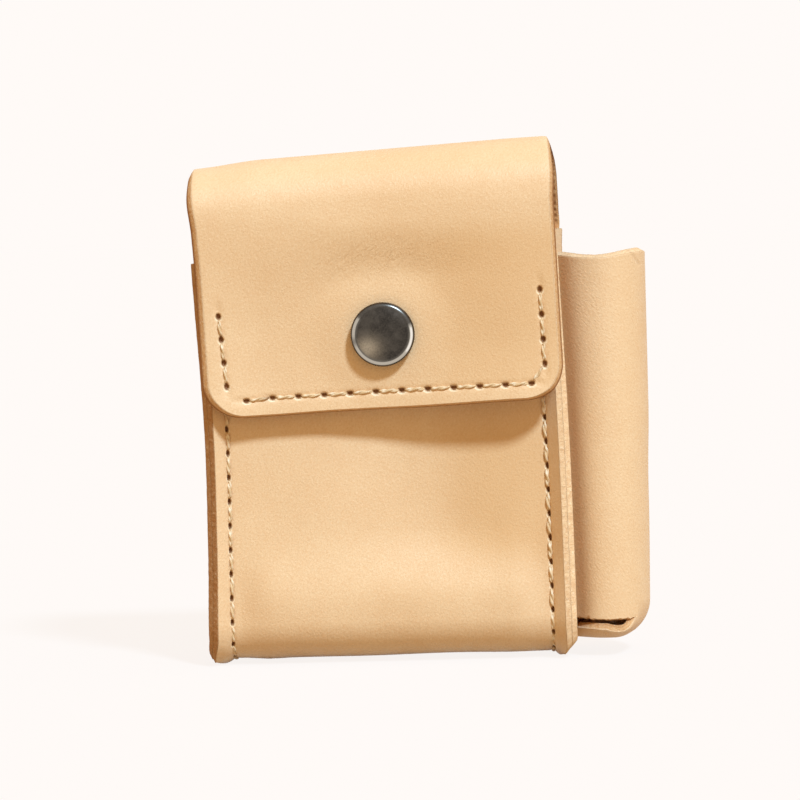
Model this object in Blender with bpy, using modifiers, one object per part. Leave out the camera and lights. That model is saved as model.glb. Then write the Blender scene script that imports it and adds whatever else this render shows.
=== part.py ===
"""Leather cigarette pouch: a sewn body for a pack, a snap flap over it and a lighter pocket at its side.

Metres, +Z up. The pouch stands on its two sewn rims, the flap faces -Y and the pocket is at +X.
"""

import math

import bmesh
import bpy
from mathutils import Matrix, Vector

# Leather
leather = 0.0016
lining_leather = 0.0010
glue_gap = 0.0002
fold_gap = 0.0003

# Room for the pack
room_width = 0.0586
room_depth = 0.0237
total_height = 0.1024
front_drop = 0.0194
gusset_drop = 0.0020
gusset_rear_rise = 0.0050
foot_lift = 0.00095
foot_radius = 0.0080

# Sewn rims
seam_ledge = 0.0024
seam_bend = 0.0008
rim_width = 0.0042
foot_rim_width = 0.0026
root_bend = 0.0011
front_flare = math.radians(40)
foot_flare = math.radians(35)
back_flare = math.radians(20)

# Stitching
seam_pitch = 0.00482
seam_end = 0.0028
hole_inset = 0.0005
hole_length = 0.0017
hole_width = 0.0011
thread_radius = 0.00036
thread_lift = 0.00048
thread_turn = 0.0011
thread_leg = 0.0002
thread_leg_share = 0.7

# Flap
flap_side = 0.0065
flap_standoff = 0.0031
flap_drop = 0.0513
flap_corner = 0.0078
front_fold_radius = 0.0100
back_fold_radius = 0.0080
lining_reach = 0.0263
lining_setback = 0.0004
flap_stitch_side = 0.0043
flap_stitch_low = 0.0034
flap_side_low = 0.0069
flap_side_pitch = 0.00475
flap_row_inset = 0.0038
flap_side_holes = 4
flap_row_holes = 12

# Snap fastener
snap_inset = 0.0146
cap_radius = 0.0063
cap_dome = 0.0014
cap_rim = 0.0005
cap_roll = 0.0003
post_radius = 0.0015
post_clear = 0.0002
neck_wall = 0.0006
socket_radius = 0.0052
socket_bore = 0.0037
socket_groove = 0.0042
socket_plate = 0.0005
socket_lip = 0.0006
ring_wire = 0.00022
ring_play = 0.00013
stud_head = 0.0031
stud_waist = 0.0028
stud_base = 0.0050
stud_plate = 0.0005
stud_crown = 0.0003
stud_bead = 0.0006
stud_play = 0.0003
stud_wall = 0.0004
post_flange = 0.0045
post_plate = 0.0004

# Lighter pocket
pocket_reach = 0.0216
pocket_half_depth = 0.0114
pocket_overlap = 0.0009
pocket_tab = 0.0045
pocket_seam_inset = 0.0022
pocket_seam_low = 0.0045
pocket_drop = 0.0030
pocket_foot = 0.0060
pocket_foot_rise = 0.0024
pocket_rise_reach = 0.0040
tongue_height = 0.0026
tongue_radius = 0.0048
tongue_end_gap = 0.0004
tongue_spread_share = 0.4
tongue_end_share = 0.75

# Counts, and one overrun for every cut
BEND_ROWS = 6
FOLD_ROWS = 4
CORNER_ROWS = 5
POCKET_COLUMNS = 22
TONGUE_COLUMNS = 7
TONGUE_ROWS = 3
DOME_ROWS = 4
TURN_STEPS = 24
RING_SIDES = 6
cut_overrun = 0.0010
weld = 0.00001

# Worked out from the sizes above
front_top = total_height - front_drop
gusset_top = front_top - gusset_drop
gusset_rear_top = gusset_top + gusset_rear_rise
pocket_top = front_top - pocket_drop
flap_bottom = total_height - flap_drop
lining_top = flap_bottom + lining_reach
snap_height = flap_bottom + snap_inset
half_depth = room_depth / 2 + leather
wall_mid = room_width / 2 + leather / 2
wall_outer = room_width / 2 + leather
stitch_x = room_width / 2 + seam_ledge
layer_step = leather + glue_gap
flap_half = room_width / 2 + flap_side
flap_rim = flap_half - stitch_x
flap_stack = lining_leather + glue_gap + leather
flap_face = flap_standoff + flap_stack
back_fold_start = total_height - back_fold_radius
hinge_turn = math.pi / 4


def clear_scene():
    for thing in list(bpy.data.objects):
        bpy.data.objects.remove(thing, do_unlink=True)


def new_collection(name):
    found = bpy.data.collections.new(name)
    bpy.context.scene.collection.children.link(found)
    return found


def make_material(name, colour, roughness, metallic):
    material = bpy.data.materials.new(name)
    material.use_nodes = True
    shader = material.node_tree.nodes["Principled BSDF"]
    shader.inputs["Base Color"].default_value = (*colour, 1.0)
    shader.inputs["Roughness"].default_value = roughness
    shader.inputs["Metallic"].default_value = metallic
    return material


class Pouch:
    """The collections, the materials and the empties: one for each body, on its joint's axis."""

    def __init__(self):
        self.pieces = new_collection("cigarette_pouch")
        self.cutters = new_collection("cutters")
        self.places = {"body": Vector(), "roof": back_hinge(), "flap": front_hinge()}
        self.root = self.add_empty("pouch_root", None, Vector())
        roof = self.add_empty("roof_hinge", self.root, back_hinge())
        flap = self.add_empty("flap_hinge", roof, front_hinge() - back_hinge())
        self.empties = {"body": self.root, "roof": roof, "flap": flap}
        self.materials = {
            "grain": make_material("veg_tan_leather", (0.78, 0.50, 0.26), 0.55, 0.0),
            "lining": make_material("lining_leather", (0.66, 0.41, 0.21), 0.75, 0.0),
            "thread": make_material("waxed_thread", (0.72, 0.60, 0.42), 0.6, 0.0),
            "nickel": make_material("dark_nickel", (0.16, 0.15, 0.14), 0.25, 1.0),
            "steel": make_material("spring_steel", (0.45, 0.45, 0.46), 0.3, 1.0),
        }
        self.made = []

    def add_empty(self, name, parent, location):
        empty = bpy.data.objects.new(name, None)
        self.pieces.objects.link(empty)
        empty.parent = parent
        empty.location = location
        return empty

    def add(self, name, data, role, body="body", place=Vector()):
        """A piece whose mesh is drawn about place, carried by one body's empty."""
        thing = bpy.data.objects.new(name, data)
        self.pieces.objects.link(thing)
        data.materials.append(self.materials[role])
        thing.parent = self.empties[body]
        thing.location = place - self.places[body]
        self.made.append(thing)
        return thing

    def add_cutter(self, name, bm, carrier=None):
        thing = bpy.data.objects.new(name, mesh_from(name, bm))
        self.cutters.objects.link(thing)
        thing.parent = carrier or self.root
        thing.display_type = "WIRE"
        thing.hide_render = True
        return thing


def mesh_from(name, bm):
    bmesh.ops.recalc_face_normals(bm, faces=bm.faces)
    mesh = bpy.data.meshes.new(name)
    bm.to_mesh(mesh)
    bm.free()
    return mesh


def sheet_mesh(name, rows, closed_column=None):
    """A grid of points as an open surface; a flat face can fill the loop that one column makes."""
    bm = bmesh.new()
    grid = [[bm.verts.new(point) for point in row] for row in rows]
    for upper, lower in zip(grid, grid[1:]):
        for k in range(len(upper) - 1):
            bm.faces.new((upper[k], upper[k + 1], lower[k + 1], lower[k]))
    if closed_column is not None:
        bm.faces.new([row[closed_column] for row in grid])
    return mesh_from(name, bm)


def thicken(thing, thickness):
    solid = thing.modifiers.new("Thickness", "SOLIDIFY")
    solid.thickness = thickness
    solid.offset = 0
    solid.use_even_offset = True


def mirror_x(thing):
    mirror = thing.modifiers.new("Mirror", "MIRROR")
    mirror.merge_threshold = weld


def cut(thing, cutter):
    boolean = thing.modifiers.new("Cut " + cutter.name, "BOOLEAN")
    boolean.operation = "DIFFERENCE"
    boolean.solver = "EXACT"
    boolean.object = cutter


def smooth(share):
    share = min(max(share, 0.0), 1.0)
    return share * share * (3 - 2 * share)


def mix(low, high, share):
    return low + (high - low) * share


class Station:
    """A place along a wrap: a point on the grain face, its outward direction and its rim."""

    def __init__(self, y, z, outward, flare=0.0, rim=flap_rim):
        self.y, self.z = y, z
        self.out_y, self.out_z = math.cos(outward), math.sin(outward)
        self.flare, self.rim = flare, rim

    def at(self, x, out):
        return Vector((x, self.y + self.out_y * out, self.z + self.out_z * out))

    def seam(self, side, along, above):
        """A point by its distance along the rim from the seam's bend, and above the rim's middle."""
        cos, sin = math.cos(self.flare), math.sin(self.flare)
        x = stitch_x + along * cos - above * sin
        return self.at(side * x, along * sin + above * cos - leather / 2)


def front_station(z):
    return Station(-half_depth, z, math.pi, front_flare, rim_width)


def back_station(z):
    return Station(half_depth, z, 0.0, back_flare, rim_width)


def foot_bend(side, share):
    """A station on the front (side -1) or back (side 1) foot bend; share runs from wall to foot."""
    turn = share * math.pi / 2
    y = side * (half_depth - foot_radius + foot_radius * math.cos(turn))
    z = foot_lift + foot_radius - foot_radius * math.sin(turn)
    outward = math.pi + turn if side < 0 else -turn
    flare = mix(front_flare if side < 0 else back_flare, foot_flare, smooth(share))
    return Station(y, z, outward, flare, mix(rim_width, foot_rim_width, smooth(share)))


def top_station(share):
    """The back panel over the gussets, where its rims flatten out towards the fold."""
    z = mix(gusset_rear_top, back_fold_start, share)
    flare = mix(back_flare, 0.0, smooth(share))
    return Station(half_depth, z, 0.0, flare, mix(rim_width, flap_rim, smooth(share)))


def fold(centre_y, radius, start, stop):
    """Stations round a fold, by angle from +Y towards +Z."""
    centre_z = total_height - radius
    stations = []
    for k in range(FOLD_ROWS + 1):
        turn = mix(start, stop, k / FOLD_ROWS)
        stations.append(Station(centre_y + radius * math.cos(turn), centre_z + radius * math.sin(turn), turn))
    return stations


def back_fold(start, stop):
    return fold(half_depth - back_fold_radius, back_fold_radius, start, stop)


def front_fold(start, stop):
    return fold(front_fold_radius - half_depth - flap_face, front_fold_radius, start, stop)


def back_hinge():
    return back_fold(hinge_turn, hinge_turn)[0].at(0.0, 0.0)


def front_hinge():
    return front_fold(math.pi - hinge_turn, math.pi - hinge_turn)[0].at(0.0, 0.0)


def wrap_stations(top):
    """The U that body panel and gussets share, from the front's top round to the gussets' back top."""
    shares = [k / BEND_ROWS for k in range(BEND_ROWS + 1)]
    stations = [front_station(top)]
    stations += [foot_bend(-1, share) for share in shares]
    stations += [foot_bend(1, share) for share in reversed(shares)]
    return stations + [back_station(gusset_rear_top)]


def panel_row(station):
    """Half a row of the body panel's middle surface: flat, the seam's bend, the rim."""
    cos, sin = math.cos(station.flare), math.sin(station.flare)
    bend_x = [stitch_x - seam_bend, stitch_x, stitch_x + seam_bend * cos]
    bend_out = [0.0, 0.0, seam_bend * sin]
    middle = (bend_x[0] + 2 * bend_x[1] + bend_x[2]) / 4, bend_out[2] / 4
    tip = stitch_x + station.rim * cos, station.rim * sin
    points = [(0.0, 0.0), (bend_x[0], bend_out[0]), middle, (bend_x[2], bend_out[2]), tip]
    return [station.at(x, out - leather / 2) for x, out in points]


def body_panel(pouch, seams, feet):
    stations = wrap_stations(front_top)
    stations += [top_station(k / FOLD_ROWS) for k in range(1, FOLD_ROWS + 1)]
    stations += back_fold(0.0, hinge_turn - fold_gap / 2 / back_fold_radius)[1:]
    mesh = sheet_mesh("body_panel", [panel_row(station) for station in stations])
    panel = pouch.add("body_panel", mesh, "grain")
    mirror_x(panel)
    thicken(panel, leather)
    cut(panel, feet)
    cut(panel, drill(pouch, "panel_drill", post_radius + 2 * post_clear, -layer_step, glue_gap))
    for seam in seams:
        cut(panel, seam)


def gusset(pouch, name, side, cutters):
    rows = []
    for station in wrap_stations(gusset_top):
        cos, sin = math.cos(station.flare), math.sin(station.flare)
        root = (wall_mid - stitch_x - layer_step * sin) / cos
        corner = station.seam(side, root, -layer_step)
        start = station.seam(side, root + root_bend, -layer_step)
        end = corner + station.at(0.0, -root_bend) - station.at(0.0, 0.0)
        rows.append([station.seam(side, station.rim, -layer_step), start, (start + 2 * corner + end) / 4, end])
    thing = pouch.add(name, sheet_mesh(name, rows, closed_column=-1), "grain")
    thicken(thing, leather)
    for cutter in cutters:
        cut(thing, cutter)


def flat_row(station):
    return [station.at(-flap_half, -leather / 2), station.at(flap_half, -leather / 2)]


def flap_roof(pouch):
    stations = back_fold(hinge_turn + fold_gap / 2 / back_fold_radius, math.pi / 2)
    stations += front_fold(math.pi / 2, math.pi - hinge_turn - fold_gap / 2 / front_fold_radius)
    mesh = sheet_mesh("flap_roof", [flat_row(station) for station in stations])
    thicken(pouch.add("flap_roof", mesh, "grain", "roof"), leather)


def rounded_end(half, bottom, radius, out):
    """Rows of a flat panel's lower end with round corners, at a distance out from the body's front."""
    rows = []
    for k in range(CORNER_ROWS + 1):
        turn = k / CORNER_ROWS * math.pi / 2
        z = bottom + radius * (1 - math.sin(turn))
        x = half - radius * (1 - math.cos(turn))
        rows.append([Vector((-x, -half_depth - out, z)), Vector((x, -half_depth - out, z))])
    return rows


def flap_front(pouch, seam):
    stations = front_fold(math.pi - hinge_turn + fold_gap / 2 / front_fold_radius, math.pi)
    rows = [flat_row(station) for station in stations]
    rows += rounded_end(flap_half, flap_bottom, flap_corner, flap_face - leather / 2)
    flap = pouch.add("flap_front", sheet_mesh("flap_front", rows), "grain", "flap")
    thicken(flap, leather)
    neck = post_radius + 2 * post_clear + neck_wall
    cut(flap, drill(pouch, "flap_drill", neck, flap_standoff - glue_gap, flap_face + glue_gap, flap))
    cut(flap, seam)


def flap_lining(pouch, seam):
    half, out = flap_half - lining_setback, flap_standoff + lining_leather / 2
    top = Vector((half, -half_depth - out, lining_top))
    rows = [[Vector((-half, top.y, top.z)), top]]
    rows += rounded_end(half, flap_bottom + lining_setback, flap_corner - lining_setback, out)
    lining = pouch.add("flap_lining", sheet_mesh("flap_lining", rows), "lining", "flap")
    thicken(lining, lining_leather)
    neck = post_radius + 2 * post_clear + neck_wall
    cut(lining, drill(pouch, "lining_drill", neck, flap_standoff - glue_gap, flap_face + glue_gap, lining))
    cut(lining, seam)


class Stitch:
    """One hole of a seam: its centre, the way the seam runs, its outward side and half its layers."""

    def __init__(self, centre, along, outward, half_stack):
        self.centre, self.along, self.outward = centre, along.normalized(), outward.normalized()
        self.half_stack = half_stack

    def point(self, along, out):
        return self.centre + self.along * along + self.outward * out

    def turn(self):
        across = self.outward.cross(self.along)
        return Matrix((self.along, across, self.outward)).transposed().to_4x4()


def stitch_cutter(pouch, name, stitches, carrier=None):
    """Diamond holes, their long diagonals along the seam."""
    bm = bmesh.new()
    for stitch in stitches:
        size = Matrix.Diagonal((hole_length / 2, hole_width / 2, stitch.half_stack + cut_overrun, 1))
        bmesh.ops.create_cone(bm, cap_ends=True, segments=4, radius1=1, radius2=1, depth=2,
                              matrix=Matrix.Translation(stitch.centre) @ stitch.turn() @ size)
    return pouch.add_cutter(name, bm, carrier)


def stitch_thread(pouch, name, stitches, face, body="body"):
    """One thread through every hole in turn: over one gap outside (face 1), the next one inside."""
    points = []
    for stitch in stitches:
        reach = stitch.half_stack + thread_lift
        points += [(stitch.point(-thread_turn, face * reach), 1.0),
                   (stitch.point(-thread_leg, face * stitch.half_stack), thread_leg_share),
                   (stitch.point(thread_leg, -face * stitch.half_stack), thread_leg_share),
                   (stitch.point(thread_turn, -face * reach), 1.0)]
        face = -face
    curve = bpy.data.curves.new(name, "CURVE")
    curve.dimensions = "3D"
    curve.bevel_depth = thread_radius
    curve.bevel_resolution = 0
    curve.use_fill_caps = True
    spline = curve.splines.new("POLY")
    spline.points.add(len(points) - 1)
    for slot, (point, share) in zip(spline.points, points):
        slot.co = (*point, 1.0)
        slot.radius = share
    pouch.add(name, curve, "thread", body)


def spread(length):
    """Distances along a seam, as near the pitch as whole stitches allow."""
    gaps = int((length - 2 * seam_end) / seam_pitch)
    return [mix(seam_end, length - seam_end, k / gaps) for k in range(gaps + 1)]


def wrap_at(distance):
    """The station a distance along the gussets' seam from the front's upper end, and the whole length."""
    wall = gusset_top - foot_lift - foot_radius
    bend = foot_radius * math.pi / 2
    foot = 2 * (half_depth - foot_radius)
    if distance <= wall:
        return front_station(gusset_top - distance)
    if distance <= wall + bend:
        return foot_bend(-1, (distance - wall) / bend)
    if distance <= wall + bend + foot:
        y = foot_radius - half_depth + distance - wall - bend
        return Station(y, foot_lift, -math.pi / 2, foot_flare, foot_rim_width)
    past = distance - wall - bend - foot
    if past <= bend:
        return foot_bend(1, 1 - past / bend)
    return back_station(foot_lift + foot_radius + past - bend)


def wrap_length():
    walls = gusset_top + gusset_rear_top - 2 * (foot_lift + foot_radius)
    return walls + foot_radius * math.pi + 2 * (half_depth - foot_radius)


def seam_stitches(side):
    """The holes that join a gusset to the body panel, all the way round the wrap."""
    stitches = []
    for distance in spread(wrap_length()):
        station = wrap_at(distance)
        centre, outer = (station.seam(side, hole_inset, out) for out in (-layer_step / 2, 0.0))
        before, after = (wrap_at(distance + step).seam(side, hole_inset, -layer_step / 2)
                         for step in (-hole_length / 2, hole_length / 2))
        stitches.append(Stitch(centre, after - before, outer - centre, leather + glue_gap / 2))
    return stitches


def flap_stitches():
    """The U of holes that joins lining and flap, from the left side's top round to the right's."""
    y = flap_stack / 2 - half_depth - flap_face
    low = flap_bottom + flap_stitch_low
    side_x = flap_half - flap_stitch_side
    row_x = side_x - flap_row_inset
    sides = [flap_bottom + flap_side_low + flap_side_pitch * k for k in range(flap_side_holes)]
    row = [mix(-row_x, row_x, k / (flap_row_holes - 1)) for k in range(flap_row_holes)]
    places = [(-side_x, z, (0, 0, -1)) for z in reversed(sides)]
    places += [(x, low, (1, 0, 0)) for x in row]
    places += [(side_x, z, (0, 0, 1)) for z in sides]
    outward = Vector((0, -1, 0))
    return [Stitch(Vector((x, y, z)), Vector(along), outward, flap_stack / 2) for x, z, along in places]


def pocket_outline():
    """The pocket leather's middle line seen from above: front tab, oval, back tab."""
    far = wall_outer + pocket_reach - leather / 2
    near = wall_outer - pocket_overlap
    centre, half = (far + near) / 2, (far - near) / 2
    tab_x = wall_outer + glue_gap + leather / 2
    first = math.acos((centre - tab_x) / half)
    points = []
    for k in range(POCKET_COLUMNS + 1):
        turn = mix(first, 2 * math.pi - first, k / POCKET_COLUMNS)
        points.append((centre - half * math.cos(turn), -pocket_half_depth * math.sin(turn)))
    tab_end = points[0][1] + pocket_tab
    return [(tab_x, tab_end)] + points + [(tab_x, -tab_end)]


def pocket_floor(x):
    """The height of the wall's lower edge, raised beside the gusset to clear its rims."""
    clear_x = stitch_x + foot_rim_width + layer_step
    return pocket_foot + pocket_foot_rise * smooth((clear_x + pocket_rise_reach - x) / pocket_rise_reach)


def tongue_end():
    """How far in the tongue reaches: to the rim of the gusset's foot."""
    tip = stitch_x + foot_rim_width * math.cos(foot_flare)
    return tip + (layer_step + leather / 2) * math.sin(foot_flare) + tongue_end_gap


def tongue_rows(outline):
    """The wall's outer part goes on round under the pocket as a tongue, its floor."""
    floor = tongue_height + leather / 2
    rows = []
    for step in range(1, TONGUE_ROWS + 1):
        share = step / TONGUE_ROWS
        turn = share * math.pi / 2
        drop, z = tongue_radius * (1 - math.cos(turn)), floor + tongue_radius * (1 - math.sin(turn))
        wide = 1 + tongue_spread_share * share / 2
        rows.append([Vector((x - drop, y * wide, z)) for x, y in outline])
    middle = [Vector(((x - tongue_radius + tongue_end()) / 2, y * (1 + tongue_spread_share), floor))
              for x, y in outline]
    rows.append(middle)
    rows.append([Vector((tongue_end(), point.y * tongue_end_share, floor)) for point in middle])
    return rows


def lighter_pocket(pouch, seams):
    outline = pocket_outline()
    first = (len(outline) - TONGUE_COLUMNS) // 2
    columns = range(first, first + TONGUE_COLUMNS)
    bend_top = tongue_height + leather / 2 + tongue_radius
    bm = bmesh.new()
    top = [bm.verts.new((x, y, pocket_top)) for x, y in outline]
    low = [bm.verts.new((x, y, bend_top if k in columns else pocket_floor(x)))
           for k, (x, y) in enumerate(outline)]
    grid = [[low[k] for k in columns]]
    grid += [[bm.verts.new(point) for point in row] for row in tongue_rows([outline[k] for k in columns])]
    for upper, lower in [(top, low)] + list(zip(grid, grid[1:])):
        for k in range(len(upper) - 1):
            bm.faces.new((upper[k], upper[k + 1], lower[k + 1], lower[k]))
    pocket = pouch.add("lighter_pocket", mesh_from("lighter_pocket", bm), "grain")
    thicken(pocket, leather)
    for seam in seams:
        cut(pocket, seam)


def pocket_stitches(side):
    """The holes that join a pocket tab to the right gusset; side -1 is the front tab."""
    tab_y = side * (pocket_seam_inset - pocket_outline()[0][1])
    x = wall_outer + glue_gap / 2
    length = pocket_top - pocket_floor(wall_outer) - pocket_seam_low
    return [Stitch(Vector((x, tab_y, pocket_top - place)), Vector((0, 0, -1)), Vector((1, 0, 0)),
                   leather + glue_gap / 2) for place in spread(length)]


def drill(pouch, name, radius, low, high, carrier=None):
    """A drill on the snap's axis, between two distances out from the body's front face."""
    bm = bmesh.new()
    low, high = low - cut_overrun, high + cut_overrun
    middle = Vector((0.0, -half_depth - (low + high) / 2, snap_height))
    matrix = Matrix.Translation(middle) @ Matrix.Rotation(math.pi / 2, 4, "X")
    bmesh.ops.create_cone(bm, cap_ends=True, segments=TURN_STEPS, radius1=radius, radius2=radius,
                          depth=high - low, matrix=matrix)
    return pouch.add_cutter(name, bm, carrier)


def turned(pouch, name, profile, role, body):
    """A turned piece on the snap's axis, from (radius, distance out from the front face) pairs."""
    bm = bmesh.new()
    verts = [bm.verts.new((radius, 0.0, out)) for radius, out in profile]
    for first, second in zip(verts, verts[1:]):
        bm.edges.new((first, second))
    mesh = bpy.data.meshes.new(name)
    bm.to_mesh(mesh)
    bm.free()
    thing = pouch.add(name, mesh, role, body, Vector((0.0, -half_depth, snap_height)))
    thing.rotation_euler = (math.pi / 2, 0.0, 0.0)
    screw = thing.modifiers.new("Turn", "SCREW")
    screw.steps = screw.render_steps = TURN_STEPS
    screw.use_merge_vertices = True
    screw.merge_threshold = weld
    screw.use_smooth_shade = True


def snap_cap(pouch):
    """A low dome with a rolled edge, and the post that holds the socket on."""
    under = flap_face + glue_gap
    dome_radius = cap_radius - cap_roll
    ball = (dome_radius ** 2 + cap_dome ** 2) / (2 * cap_dome)
    top = under + cap_rim + cap_dome
    last = math.asin(dome_radius / ball)
    dome = [(ball * math.sin(last * k / DOME_ROWS), top - ball * (1 - math.cos(last * k / DOME_ROWS)))
            for k in range(DOME_ROWS + 1)]
    post_end = flap_standoff
    profile = dome + [(cap_radius, under + cap_rim - cap_roll), (cap_radius - cap_roll, under),
                      (post_radius, under), (post_radius, post_end), (0.0, post_end)]
    turned(pouch, "snap_cap", profile, "nickel", "flap")


def socket_levels():
    """The socket's lower face and its plate's two faces, out from the body's front."""
    plate_top = flap_standoff - glue_gap
    return glue_gap + stud_plate + stud_play, plate_top - socket_plate, plate_top


def snap_socket(pouch):
    low, plate_low, plate_top = socket_levels()
    bore, neck_top = post_radius + post_clear, flap_face - glue_gap
    lip = low + socket_lip
    profile = [(0.0, plate_top), (bore, plate_top), (bore, neck_top), (bore + neck_wall, neck_top),
               (bore + neck_wall, plate_top), (socket_radius, plate_top), (socket_radius, low),
               (socket_bore, low), (socket_bore, lip), (socket_groove, lip),
               (socket_groove, plate_low), (0.0, plate_low)]
    turned(pouch, "snap_socket", profile, "nickel", "flap")


def snap_spring_ring(pouch):
    """The round spring in the socket's groove that grips the stud under its head."""
    low, plate_low, _ = socket_levels()
    out = (low + socket_lip + plate_low) / 2
    bpy.ops.mesh.primitive_torus_add(major_segments=TURN_STEPS, minor_segments=RING_SIDES,
                                     major_radius=socket_groove - ring_wire - ring_play, minor_radius=ring_wire)
    ring = bpy.context.object
    mesh = ring.data
    bpy.data.objects.remove(ring)
    mesh.name = "snap_spring_ring"
    mesh.shade_smooth()
    thing = pouch.add("snap_spring_ring", mesh, "steel", "flap", Vector((0.0, -half_depth - out, snap_height)))
    thing.rotation_euler = (math.pi / 2, 0.0, 0.0)


def snap_stud(pouch):
    """A hollow stud on the body's front; its head clicks through the socket's spring."""
    base, plate_low = glue_gap, socket_levels()[1]
    top = plate_low - stud_play
    shoulder = base + stud_plate
    profile = [(0.0, top), (stud_head - stud_crown, top), (stud_head, top - stud_crown),
               (stud_head, top - stud_bead), (stud_waist, top - stud_bead - stud_crown),
               (stud_waist, shoulder), (stud_base, shoulder), (stud_base, base),
               (post_radius + post_clear, base), (post_radius + post_clear, top - stud_wall),
               (0.0, top - stud_wall)]
    turned(pouch, "snap_stud", profile, "nickel", "body")


def snap_post(pouch):
    """The stud's rivet: its flange lies inside the pack's room, its shank goes out into the stud."""
    top = socket_levels()[1] - stud_play - stud_wall - post_clear
    inner = -leather - glue_gap
    profile = [(0.0, top), (post_radius, top), (post_radius, inner), (post_flange, inner),
               (post_flange, inner - post_plate), (0.0, inner - post_plate)]
    turned(pouch, "snap_post", profile, "nickel", "body")


def stand_on_origin(pouch):
    """Moves the pouch so that the origin is under its middle, at the height of its feet."""
    graph = bpy.context.evaluated_depsgraph_get()
    points = []
    for thing in pouch.made:
        found = thing.evaluated_get(graph)
        points += [found.matrix_world @ vertex.co for vertex in found.to_mesh().vertices]
        found.to_mesh_clear()
    low = Vector([min(point[axis] for point in points) for axis in range(3)])
    high = Vector([max(point[axis] for point in points) for axis in range(3)])
    middle = (low + high) / 2
    pouch.root.location = (-middle.x, -middle.y, -low.z)


def build():
    clear_scene()
    pouch = Pouch()
    sides = {"left": -1, "right": 1}
    seams = {name: seam_stitches(side) for name, side in sides.items()}
    seam_cutters = {name: stitch_cutter(pouch, name + "_seam_holes", seams[name]) for name in sides}
    pocket_seams = {"front": pocket_stitches(-1), "rear": pocket_stitches(1)}
    pocket_cutters = [stitch_cutter(pouch, name + "_pocket_holes", stitches)
                      for name, stitches in pocket_seams.items()]
    body_panel(pouch, list(seam_cutters.values()), floor_cutter(pouch))
    gusset(pouch, "gusset_left", sides["left"], [seam_cutters["left"]])
    gusset(pouch, "gusset_right", sides["right"], [seam_cutters["right"]] + pocket_cutters)
    lighter_pocket(pouch, pocket_cutters)
    flap_roof(pouch)
    flap_holes = stitch_cutter(pouch, "flap_holes", flap_stitches())
    flap_front(pouch, flap_holes)
    flap_lining(pouch, flap_holes)
    for name in sides:
        stitch_thread(pouch, "seam_thread_" + name, seams[name], -1)
    stitch_thread(pouch, "flap_thread", flap_stitches(), -1, "flap")
    for name, stitches in pocket_seams.items():
        stitch_thread(pouch, "pocket_thread_" + name, stitches, -1)
    snap_cap(pouch)
    snap_socket(pouch)
    snap_spring_ring(pouch)
    snap_stud(pouch)
    snap_post(pouch)
    bpy.context.view_layer.update()
    stand_on_origin(pouch)


def floor_cutter(pouch):
    """Everything under the ground, which trims the two sewn rims to flat feet."""
    bm = bmesh.new()
    size = (4 * flap_half, 2 * half_depth, foot_lift)
    matrix = Matrix.Translation((0.0, 0.0, -foot_lift / 2)) @ Matrix.Diagonal((*size, 1))
    bmesh.ops.create_cube(bm, size=1, matrix=matrix)
    return pouch.add_cutter("floor_cutter", bm)


build()
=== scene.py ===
"""Leather cigarette pouch with a lighter pocket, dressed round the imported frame.

The shapes are drawn in millimetres about the pouch's own middle. settle() leans them as the worn pouch stands
and to_row() puts them in the frame's place, in metres.
"""

import math

import bmesh
import bpy
import numpy as np
from mathutils import Matrix, Vector


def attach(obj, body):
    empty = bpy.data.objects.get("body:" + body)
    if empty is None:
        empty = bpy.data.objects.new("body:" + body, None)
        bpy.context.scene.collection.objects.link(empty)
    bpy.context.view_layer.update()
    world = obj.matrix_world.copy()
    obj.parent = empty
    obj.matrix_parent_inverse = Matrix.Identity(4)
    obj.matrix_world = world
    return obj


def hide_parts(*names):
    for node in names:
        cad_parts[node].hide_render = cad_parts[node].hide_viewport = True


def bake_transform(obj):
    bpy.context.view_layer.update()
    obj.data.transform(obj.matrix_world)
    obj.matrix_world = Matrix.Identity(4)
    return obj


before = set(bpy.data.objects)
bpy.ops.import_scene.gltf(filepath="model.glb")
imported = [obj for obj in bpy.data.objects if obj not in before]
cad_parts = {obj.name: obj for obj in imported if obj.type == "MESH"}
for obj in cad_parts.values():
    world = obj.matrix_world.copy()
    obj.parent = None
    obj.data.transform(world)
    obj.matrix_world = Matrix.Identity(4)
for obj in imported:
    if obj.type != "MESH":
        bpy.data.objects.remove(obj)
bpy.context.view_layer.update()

# The pouch, in millimetres about its own middle
MIDDLE = np.array((-7.958, 3.304, 0.0))
LEATHER = 1.6
LINING = 1.0
GLUE = 0.01
STEP = LEATHER + GLUE
HALF = LEATHER / 2
HALF_DEPTH = 13.45
FOOT_LIFT = 0.95
FOOT_RADIUS = 8.0
STITCH_X = 31.7
WALL_X = 30.1
RIM = {-1: 3.80, 1: 3.85}
FOOT_RIM = {-1: 3.7, 1: 2.6}
FRONT_FLARE = {-1: math.radians(38.5), 1: math.radians(43.5)}
FOOT_FLARE = {-1: math.radians(27), 1: math.radians(37)}
BACK_FLARE = math.radians(20)
FRONT_TOP = 83.0
GUSSET_TOP = 81.0
GUSSET_REAR_TOP = 86.0
PANEL_END = 88.5
TOP = 102.4
BACK_FOLD = 8.0
FRONT_FOLD = 10.0
FLAP_FACE = 5.9
FLAP_BOTTOM = 51.1
FLAP_HALF = 35.8
FLAP_CORNER = 7.8
ROOF_JOIN = -2.0
SNAP_Z = 65.7
SNAP_X = 0.75
PI = math.pi
SIDES = (-1, 1)
# where these pieces are cut from in the leather's pattern
LINING_PATTERN, GUSSET_PATTERN, POCKET_PATTERN = 200, 300, 500
# a mesh edge that turns by more is shaded sharp
SHARP, METAL_SHARP = math.radians(62), math.radians(50)


# Small helpers

def smooth(t):
    t = np.clip(t, 0.0, 1.0)
    return t * t * (3 - 2 * t)


def past(value, start, width):
    """How far value is past start: from 0 to 1 over width, eased at both ends."""
    return smooth((value - start) / width)


def bell(value, middle, width):
    return np.exp(-((value - middle) / width) ** 2)


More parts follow.
